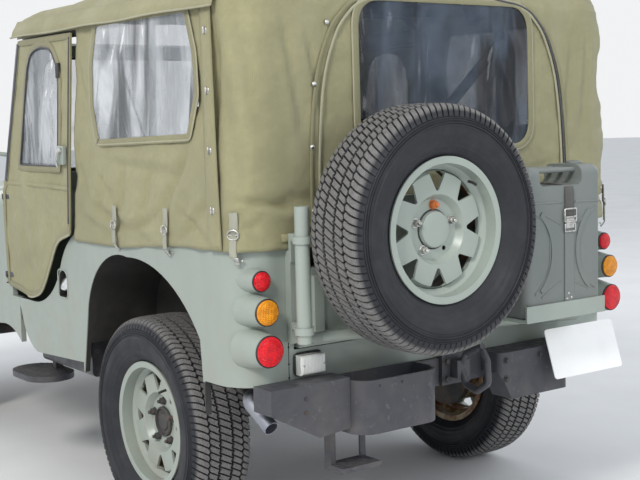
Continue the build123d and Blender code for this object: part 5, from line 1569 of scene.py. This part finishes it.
def tread_plate():
    """Raised lozenges of the tread plate on the right box and the folding step, in rows that cross."""
    grids, lozenge = [], soft_block((-0.01, -0.0028, 0), (0.01, 0.0028, 0.0016), 0.0026, 0.0006)
    for x0, x1, y0, y1, z in TREAD_PLATES:
        x, y = np.meshgrid(np.arange(x0, x1, 0.024), np.arange(y0, y1, 0.018), indexing="ij")
        odd = (np.arange(x.shape[0])[:, None] + np.arange(x.shape[1])[None, :]) % 2 == 1
        for pick, turn in ((odd, 0.62), (~odd, -0.62)):
            cosine, sine = math.cos(turn), math.sin(turn)
            spin = np.array([(cosine, -sine, 0), (sine, cosine, 0), (0, 0, 1)])
            places = np.stack([x[pick], y[pick], np.full(pick.sum(), z - 0.0002)], -1)
            grids.append(at_places((lozenge[0] @ spin, lozenge[1], lozenge[2]), places))
    make_piece("tread_plate_lozenges", grids, black)


def small_holes():
    """Rows of small drilled holes shown as dark countersunk discs on the step's side and the valance seam:
    the discs' black is painted shade inside the holes.
    """
    on_step = [(0.004, 0.0004, (x, 1.6811, 0.572)) for x in (0.195, 0.33, 0.415)]
    on_seam = [(0.0034, 0.0005, (0.6225, 1.5221, z)) for z in (0.6, 0.64, 0.69)]
    # Black discs: painted shade inside the drilled holes
    discs = [turned([(0, 0), (radius, 0), (radius, rise), (0, rise)], at, (0, 1, 0), 12)
             for radius, rise, at in on_step + on_seam]
    seam = level_line(0.6225, 1.5221, (0.586, 0.702), 12)
    discs.append(swept(seam, strap_section(0.0026, 0.001), up=(0, 1, 0)))
    make_piece("drilled_holes_and_valance_seam", discs, hole_black)


# Fuel filler in the left side: middle of its neck's end, direction, and lathe profiles of neck and cap
FILLER_AT = (0.765, 0.352, 0.776)
FILLER_AXIS = (0.9, -0.05, 0.43)
NECK_PROFILE = ((0, -0.02), (0.024, -0.02), (0.024, 0.0), (0, 0.0))
FILLER_CAP = ((0, 0), (0.03, 0), (0.031, 0.004), (0.03, 0.014), (0.027, 0.018), (0.012, 0.0205),
              (0, 0.0205))


def fuel_filler():
    """Bright tilted filler cap, its neck and the pressed lip round the pocket in the left side."""
    make_piece("filler_neck", [turned(NECK_PROFILE, FILLER_AT, FILLER_AXIS, 32)], black)
    make_piece("filler_cap", [turned(FILLER_CAP, FILLER_AT, FILLER_AXIS, 40)], plating)
    outline = rounded_outline(0.0395, 0.0505, 0.018, 6)
    path = np.insert(outline + (0.352, 0.777), 0, HALF_W + 0.0004, axis=1)
    lip = swept(path, circle(0.003, 8, 0.7), up=(1, 0, 0), closed=True)
    make_piece("filler_pocket_lip", [lip], paint)


tail_lamps()
reversing_lamp_trim()
can_fittings()
rear_bolts()
tread_plate()
small_holes()
fuel_filler()


# Outer face of the soft door across the car: half width, height
DOOR_FACE = ((0.802, 0.69), (0.809, 0.985), (0.806, 1.18), (0.791, 1.69))
# Edge of the soft door from its front foot round to its front, and its window: along, height
DOOR_SWEEP = through([(-0.114, 0.73), (-0.028, 0.72), (0.054, 0.708), (0.096, 0.702), (0.15, 0.712),
                      (0.197, 0.731), (0.248, 0.78), (0.293, 0.837), (0.371, 0.926), (0.479, 0.963)], 6)
DOOR_UPPER = ((0.482, 0.992), (0.518, 1.654), (0.064, 1.654), (-0.087, 1.125), (-0.114, 1.094))
DOOR_EDGE = np.concatenate([DOOR_SWEEP, DOOR_UPPER])
PANE_TOP = through([(0.404, 1.545), (0.352, 1.604), (0.29, 1.618), (0.24, 1.618), (0.18, 1.6),
                    (0.145, 1.555)], 5)
DOOR_PANE = np.concatenate([[(0.064, 1.197), (0.4, 1.197), (0.414, 1.483)], PANE_TOP, [(0.13, 1.504)]])
PIN_Y, PIN_X = -0.118, 0.806
LEVER_LINE = ((0.825, 0.462, 1.262), (0.833, 0.456, 1.246), (0.835, 0.448, 1.222), (0.829, 0.443, 1.196))
# Foot of each hinge pin and the top of the scuttle's ring that it stands in
PIN_HEIGHTS = ((0.736, 0.763), (1.036, 1.063))


def door_place(sign, outwards=0.0):
    """Gives the function of the door's outer face: x is read off DOOR_FACE by height."""
    width, level = np.array(DOOR_FACE).T

    def place(along, up):
        """Points of the face at places along the car and up."""
        along, up = np.broadcast_arrays(np.asarray(along, float), np.asarray(up, float))
        return np.stack([sign * (np.interp(up, level, width) + outwards), along, up], -1)

    return place


def toward_centre(outline, distance):
    """Outline made smaller about its middle by a distance on each side."""
    outline = np.asarray(outline, float)
    middle = (outline.max(0) + outline.min(0)) / 2
    half = (outline.max(0) - outline.min(0)) / 2
    return middle + (outline - middle) * (1 - distance / half)


ZIP_LINE = through([(0.474, 1.000), (0.49, 1.33), (0.507, 1.64)], 14)
SEAL_LINE = through([(-0.076, 1.135), (-0.005, 1.385), (0.066, 1.64)], 12)
WAIST_LINE = through([(-0.1, 1.128), (0.1, 1.128), (0.3, 1.126), (0.48, 1.122)], 12)
# Strips on the door's face: name, route, width, thickness, lift off the face, finish, whether it closes
DOOR_STRIPS = (
    ("window_binding", dense(toward_centre(DOOR_PANE, -0.01), 0.02), 0.024, 0.003, 0.0012, binding, True),
    ("window_piping", dense(toward_centre(DOOR_PANE, 0.002), 0.02), 0.007, 0.005, 0.002, black_tape, True),
    ("edge_binding", dense(toward_centre(DOOR_EDGE, 0.011), 0.03), 0.022, 0.0028, 0.001, binding, True),
    ("sweep_piping", toward_centre(DOOR_EDGE, 0.002)[14:55], 0.0075, 0.006, 0.0012, piping, False),
    ("rear_zip", ZIP_LINE, 0.007, 0.0046, 0.0028, black_tape, False),
    ("front_seal", SEAL_LINE, 0.022, 0.005, 0.0022, black_tape, False),
    ("waist_seam", WAIST_LINE, 0.016, 0.0022, 0.001, canvas, False),
)


def soft_door(side):
    """Door cloth stretched on its tube frame. The face is door_place plus slack: low noise that grows
    away from the frame and the window, and shallow upright folds below the window."""
    sign = 1.0 if side == "left" else -1.0
    body, place = "door_" + side, door_place(sign, -0.001)
    rim, view = dense(DOOR_EDGE, 0.016), dense(DOOR_PANE, 0.014)
    flat, faces = cut_grid(rim, 0.01, holes=(view,))
    along, up = flat.T
    gap = np.linalg.norm(flat - nearest_on(flat, rim), axis=1)
    pane_gap = np.linalg.norm(flat - nearest_on(flat, view), axis=1)
    slack = np.clip(gap / 0.05, 0, 1) * np.clip(pane_gap / 0.04, 0, 1)
    low = np.clip((1.16 - up) / 0.15, 0, 1)
    wave = 0.0026 * cloth_noise(along, up, 31, 0.16) + 0.0012 * cloth_noise(along, up, 32, 0.05)
    folds = 0.0022 * low * np.sin((along + 0.25 * up) * 2 * math.pi / 0.11)
    normal = outward_of(place, along, up)
    points = place(along, up) + normal * (slack * (wave + folds))[:, None]
    cloth = make_mesh(f"door_{side}_cloth", points, faces, canvas, body)
    thicken(cloth, 0.0035, inside=(0, 0.2, 1.2))
    frame_line = door_place(sign, -0.0085)(*dense(toward_centre(DOOR_EDGE, 0.02), 0.03).T)
    frame = swept(frame_line, circle(0.0034, 8), up=(1, 0, 0), closed=True)
    tube = make_piece(f"door_{side}_frame_tube", [frame], black, body)
    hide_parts("door_" + side)
    pane = film_panel(f"door_{side}_clear_pane", view, door_place(sign, -0.003), body, film, 5)
    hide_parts(f"door_{side}_film")
    for name, *strip, closed in DOOR_STRIPS:
        band(f"door_{side}_{name}", door_place(sign), *strip, body, closed)
    door_hardware(side, sign, body)


def door_hardware(side, sign, body):
    """Latch box with its lever at the rear edge, a dark buckle above, and the pins in the scuttle's rings."""
    def at(x, y, z):
        """Point on this side of the car."""
        return np.array((sign * x, y, z))

    case = soft_block(at(0.8065, 0.425, 1.205), at(0.822, 0.474, 1.27), 0.006, 0.003, axis=0)
    lever_line = through([at(*point) for point in LEVER_LINE], 6)
    lever = swept(lever_line, strap_section(0.013, 0.005), up=(sign, 0, 0))
    boss = turned([(0, 0), (0.009, 0), (0.009, 0.006), (0, 0.008)], at(0.821, 0.458, 1.254), (sign, 0, 0), 20)
    buckle = soft_block(at(0.7935, 0.404, 1.505), at(0.8045, 0.43, 1.556), 0.003, 0.002, axis=0)
    pins = []
    for foot, top in PIN_HEIGHTS:
        head = top + 0.02
        profile = [(0, foot), (0.004, foot), (0.004, top), (0.007, top), (0.007, head), (0, head)]
        pins.append(turned(profile, (sign * PIN_X, PIN_Y, 0), (0, 0, 1), 20))
        corners = at(0.797, -0.117, top + 0.001), at(0.806, -0.06, top + 0.019)
        pins.append(soft_block(*corners, 0.003, 0.001, axis=0))
    for name, grids, finish in (
        ("latch", [case], paint),
        ("lever", [lever, boss], zinc),
        ("buckle", [buckle], plastic),
        ("hinge_pins", pins, black),
    ):
        make_piece(f"door_{side}_{name}", grids, finish, body)


for side in ("left", "right"):
    soft_door(side)


def blown_up(piece, cap, frames=20, voxel=0.009):
    """Cloth with air pressure inside: remesh, run the cloth for some frames, and hold every point within
    the cap of where it began."""
    scene = bpy.context.scene
    modify(piece, "REMESH", mode="VOXEL", voxel_size=voxel)
    take_shape(piece)
    begun = mesh_points(piece.data)
    cloth = piece.modifiers.new("Cloth", "CLOTH")
    cloth.settings.quality = 4
    cloth.settings.use_pressure = True
    cloth.settings.uniform_pressure_force = 4.0
    cloth.settings.effector_weights.gravity = 0.0
    cloth.point_cache.frame_start, cloth.point_cache.frame_end = 1, frames
    for frame in range(1, frames + 1):
        scene.frame_set(frame)
    take_shape(piece)
    scene.frame_set(1)
    moved = mesh_points(piece.data) - begun
    far = np.linalg.norm(moved, axis=1, keepdims=True)
    held = begun + moved * np.minimum(1.0, cap / np.maximum(far, 1e-9))
    piece.data.vertices.foreach_set("co", held.ravel())
    piece.data.update()
    work = bmesh.new()
    work.from_mesh(piece.data)
    all_axes = {"use_axis_x": True, "use_axis_y": True, "use_axis_z": True}
    bmesh.ops.smooth_vert(work, verts=work.verts, factor=0.5, **all_axes)
    work.to_mesh(piece.data)
    work.free()


def take_shape(piece):
    """Applies what the modifiers make of the piece."""
    graph = bpy.context.evaluated_depsgraph_get()
    shaped = bpy.data.meshes.new_from_object(piece.evaluated_get(graph))
    piece.modifiers.clear()
    old, piece.data = piece.data, shaped
    bpy.data.meshes.remove(old)


SEAT_MIDDLE_X = 0.29
# Middle, half sizes (across, along, thick), direction of the thickness, and fill of each pad
PAD_SHAPES = {
    "cushion": ((0.0, 0.3625, 0.821), (0.186, 0.2, 0.038), (0.0, 0.0, 1.0), 0.75),
    "back": ((0.0, 0.605, 1.082), (0.181, 0.192, 0.034), (0.0, -0.979, 0.204), 0.7),
    "bench": ((0.622, 1.225, 0.966), (0.104, 0.2, 0.022), (0.0, 0.0, 1.0), 0.65),
}


def pad_frame(thick):
    """Across, along and thick directions of a pad."""
    thick = np.array(thick)
    thick /= np.linalg.norm(thick)
    across = np.array((1.0, 0.0, 0.0))
    return np.stack([across, np.cross(thick, across), thick])


def pad_seams(middle, half, frame, lift):
    """Piping round the pad's edge and two sewn channels across its crown, as lines in the pad's own frame."""
    rim = rounded_outline(half[0] + lift * 0.8, half[1] + lift * 0.8, 0.035, 7)
    lines = [(np.stack([rim[:, 0], rim[:, 1], 0 * rim[:, 0] + half[2] * 0.8], -1), True)]
    for share in (-0.33, 0.33):
        across = np.linspace(-1, 1, 24)
        crown = half[2] + lift * 1.05 * (1 - across**6) - 0.004
        lines.append((np.stack([across * half[0] * 0.96, 0 * across + share * half[1], crown], -1), False))
    return [swept(middle + line @ frame, circle(0.0034, 8), up=frame[2], closed=closed)
            for line, closed in lines]


def padded(kind, places):
    """One pad simulated as an air-filled cover, then set at each place with its piping and sewn channels."""
    middle, half, thick, fill = PAD_SHAPES[kind]
    middle, half, frame = np.array(middle), np.array(half), pad_frame(thick)
    made = []
    first = make_piece(f"{kind}_cover", [soft_block(-half, half, 0.03, 0.014)], hide)
    blown_up(first, 0.012)
    shape = mesh_points(first.data)
    for name, shift in places:
        piece = first if not made else bpy.data.objects.new(name, first.data.copy())
        if made:
            bpy.context.scene.collection.objects.link(piece)
            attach(piece, "root")
        piece.name = name
        centre = middle + shift if kind != "bench" else middle * (np.sign(shift[0]), 1, 1)
        piece.data.vertices.foreach_set("co", (centre + shape @ frame).ravel())
        piece.data.update()
        piece.data.polygons.foreach_set("use_smooth", np.full(len(piece.data.polygons), True))
        make_piece(name + "_piping", pad_seams(centre, half, frame, 0.01), hide_piping)
        made.append(piece)
    return made


def pair_of(kind, name, across):
    """Left and right copy of one kind of pad."""
    return padded(kind, ((name + "_left", (across, 0, 0)), (name + "_right", (-across, 0, 0))))


cushions = pair_of("cushion", "seat_cushion", SEAT_MIDDLE_X)
pair_of("back", "seat_back", SEAT_MIDDLE_X)
benches = pair_of("bench", "bench_cushion", 1)
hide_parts("seat_pads")
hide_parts("bench_pads")


GRILLE_FACE_Y = -1.67
BUMPER_FACE_Y = -1.8752
STEP_TOP_Z = 0.3938
COWL_FRONT_Y = -0.314
COWL_TOP_Z = 1.095
# Windshield pane: directions up it and out of its face
PANE_UP = np.array((0.0, 0.297, 0.955))
PANE_OUT = np.array((0.0, -0.955, 0.297))
# Front lamps: across, out from the grille, height, facets round
HEADLAMP = (0.355, 0.0022, 0.88, 64)
SIDE_LAMP = (0.415, 0, 0.735, 32)
# Lathe profiles of the front lamps: radius, height off the grille
HEADLAMP_RIM = ((0.078, 0.0), (0.0855, 0.0), (0.0865, 0.004), (0.085, 0.0085), (0.08, 0.01),
                (0.076, 0.0085), (0.078, 0.0))
HEADLAMP_GLASS = ((0, -0.001), (0.0785, -0.001), (0.0785, 0.002), (0.072, 0.005), (0.055, 0.007),
                  (0.03, 0.0078), (0, 0.008))
SIDE_LAMP_RIM = ((0.024, -0.001), (0.031, -0.001), (0.031, 0.006), (0.0265, 0.0095), (0.024, -0.001))
SIDE_LAMP_LENS = ((0, -0.001), (0.026, -0.001), (0.026, 0.008), (0.02, 0.014), (0, 0.016))


def headlamp_trim():
    """Bright rim and glass of each round headlamp, and the small side lamps below them."""
    def both(profile, x, out, z, around):
        """The profile turned about -Y at the place on both sides."""
        return [turned(profile, (sign * x, GRILLE_FACE_Y - out, z), (0, -1, 0), around) for sign in (1, -1)]

    rims = both(HEADLAMP_RIM, *HEADLAMP) + both(SIDE_LAMP_RIM, *SIDE_LAMP)
    make_piece("headlamp_rims", rims, plating)
    make_piece("headlamp_glasses", both(HEADLAMP_GLASS, *HEADLAMP), fluted)
    make_piece("front_side_lamps", both(SIDE_LAMP_LENS, *SIDE_LAMP), amber_lens)


def on_pane(across, up, out=0.0):
    """Point on the windshield's plane, measured up it from its hinge line and out from its face."""
    return np.array((across, -0.12, COWL_TOP_Z + 0.006)) + PANE_UP * up + PANE_OUT * out


# Lines of a wiper: across from its motor, up the pane, out of the pane
WIPER_ARM = ((0, 0.535, 0.046), (0.03, 0.46, 0.04), (0.1, 0.3, 0.022))
WIPER_CARRIER = ((0.035, 0.44, 0.016), (0.1, 0.3, 0.02), (0.165, 0.16, 0.016))


def wipers():
    """Two wipers: motor box above the glass, arm, blade carrier and rubber."""
    metal, blades = [], []
    for x in (0.36, -0.36):
        corners = on_pane(x - 0.035, 0.52, 0.018), on_pane(x + 0.035, 0.556, 0.044)
        metal.append(soft_block(*corners, 0.006, 0.004, axis=0))
        arm, carrier = (through([on_pane(x - across, up, out) for across, up, out in line], 8)
                        for line in (WIPER_ARM, WIPER_CARRIER))
        metal.append(swept(arm, circle(0.0032, 8), up=PANE_OUT))
        metal.append(swept(carrier, strap_section(0.006, 0.004), up=PANE_OUT))
        blades.append(swept(carrier - PANE_OUT * 0.0065, strap_section(0.0035, 0.008), up=PANE_OUT))
    make_piece("wiper_arms", metal, black)
    make_piece("wiper_rubbers", blades, plastic)


def windshield_seal():
    """Rubber seal round the pane: a flat section swept round a rounded rectangle on its plane."""
    outline = rounded_outline(0.682, 0.2265, 0.048, 7)
    for side_name, lift in (("outer", 0.0045), ("inner", -0.0045)):
        path = np.stack([on_pane(x, 0.293 + up, lift) for x, up in outline])
        seal = swept(path, strap_section(0.014, 0.005), up=PANE_OUT, closed=True)
        make_piece(f"windshield_{side_name}_seal", [seal], plastic)


# Place of the left mirror's glass, and lathe profiles of a mirror: radius, height
MIRROR_AT = (0.87, -0.1648, 1.27)
MIRROR_GLASS = ((0, -0.0006), (0.061, -0.0006), (0.061, 0.0008), (0, 0.0008))
MIRROR_RIM = ((0.06, -0.001), (0.068, -0.001), (0.068, 0.002), (0.064, 0.0036), (0.06, -0.001))
MIRROR_BALL = ((0, 0), (0.012, 0), (0.012, 0.012), (0.008, 0.017), (0, 0.018))


def mirrors():
    """Silvered glass, rim and ball joint of both round mirrors, facing the rear."""
    silver, rims = [], []
    for sign in (1, -1):
        at = MIRROR_AT * np.array((sign, 1, 1))
        silver.append(turned(MIRROR_GLASS, at, (0, 1, 0), 48))
        rims.append(turned(MIRROR_RIM, at, (0, 1, 0), 48))
        rims.append(turned(MIRROR_BALL, at + (0, -0.0235, 0), (0, -1, 0), 20))
    make_piece("mirror_glasses", silver, mirror_silver)
    make_piece("mirror_rims", rims, plastic)


def bonnet_hardware():
    """Latch and spring on each side of the bonnet, and the piano hinge at its rear edge."""
    latches, hooks = [], []
    for sign in (1, -1):
        corners = (sign * 0.4642, -1.27, 0.872), (sign * 0.474, -1.236, 0.95)
        latches.append(soft_block(*corners, 0.004, 0.002, axis=0))
        spring = level_line(sign * 0.4775, -1.253, (0.88, 0.935), 40)
        spring[:, 1] += 0.0045 * np.cos(np.arange(40) * 1.1)
        hooks.append(swept(spring, circle(0.0016, 6), up=(sign, 0, 0)))
    make_piece("bonnet_side_latches", latches, black, "bonnet")
    make_piece("bonnet_latch_springs", hooks, zinc, "bonnet")
    barrel = ((0, -0.019), (0.0055, -0.019), (0.0055, 0.019), (0, 0.019))
    knuckles = [turned(barrel, (x, COWL_FRONT_Y - 0.003, 1.1035), (1, 0, 0), 12)
                for x in np.arange(-0.36, 0.37, 0.045)]
    make_piece("bonnet_piano_hinge", knuckles, paint, "bonnet")


def fender_top(y):
    """Height of the fender's top at a place along the car: level in front, then falling at 0.15 in 0.285."""
    return 0.8502 if y < -0.985 else 0.85 - 0.15 * (y + 0.985) / 0.285


def panel_screws():
    """Screw heads of the fenders, the tub sides and the grille."""
    heads = []
    for sign in (1, -1):
        for y in np.arange(-1.6, -0.45, 0.19):
            if abs(y - FRONT_AXLE_Y) > 0.02:
                heads.append(dome(0.0065, 0.0035, (0, 0, 1), 10, (sign * 0.5, y, fender_top(y))))
        for z in (0.8, 0.93, 1.05):
            heads.append(dome(0.0055, 0.003, (sign, 0, 0), 10, (sign * (HALF_W + 0.0002), -0.07, z)))
    for x in np.linspace(-0.44, 0.44, 7):
        heads.append(dome(0.0055, 0.003, (0, -1, 0), 10, (x, GRILLE_FACE_Y - 0.0002, 1.012)))
    make_piece("panel_screw_heads", heads, paint)


def bumper_bolts():
    """Two bolts one above the other at four places on the front bumper."""
    heads = []
    for x in (0.445, 0.375, -0.375, -0.445):
        for z in (0.515, 0.565):
            heads += bolt((x, BUMPER_FACE_Y, z), (0, -1, 0), 0.009, 0.006)
    make_piece("front_bumper_bolts", heads, casting, smooth=False)


def side_step_tread():
    """Pressed studs in rows on both oval side steps."""
    studs = []
    x, y = np.meshgrid(np.arange(0.632, 0.8, 0.018), np.arange(-0.16, 0.101, 0.02), indexing="ij")
    inside = ((x - 0.715) / 0.085) ** 4 + ((y + 0.03) / 0.138) ** 4 < 1
    for sign in (1, -1):
        places = np.stack([sign * x[inside], y[inside], np.full(inside.sum(), STEP_TOP_Z)], -1)
        studs.append(at_places(dome(0.0052, 0.0022, (0, 0, 1), 8), places))
    make_piece("side_step_studs", studs, black)


# Steering wheel: middle of its hub, direction of its column, radius of its rim, profile of the horn button
STEERING_HUB = (-0.3, 0.129, 1.11)
STEERING_AXIS = (0.0, 0.8, 0.6)
STEERING_RIM = 0.2
HORN_PROFILE = ((0, 0.0165), (0.02, 0.0165), (0.0225, 0.019), (0.0215, 0.0235), (0.014, 0.0265), (0, 0.027))


def steering_wheel_trim():
    """Horn button on the steering wheel's hub, and finger lumps under the rim."""
    horn = turned(HORN_PROFILE, STEERING_HUB, STEERING_AXIS, 32)
    make_piece("horn_button", [horn], plating, "steering_wheel")
    side, up, axis = basis(STEERING_AXIS)
    places = STEERING_HUB + STEERING_RIM * ring_of(36, side, up) - axis * 0.0095
    lumps = at_places(dome(0.0055, 0.005, -axis, 8), places)
    make_piece("steering_wheel_finger_lumps", [lumps], plastic, "steering_wheel")


headlamp_trim()
wipers()
windshield_seal()
mirrors()
bonnet_hardware()
panel_screws()
bumper_bolts()
side_step_tread()
steering_wheel_trim()
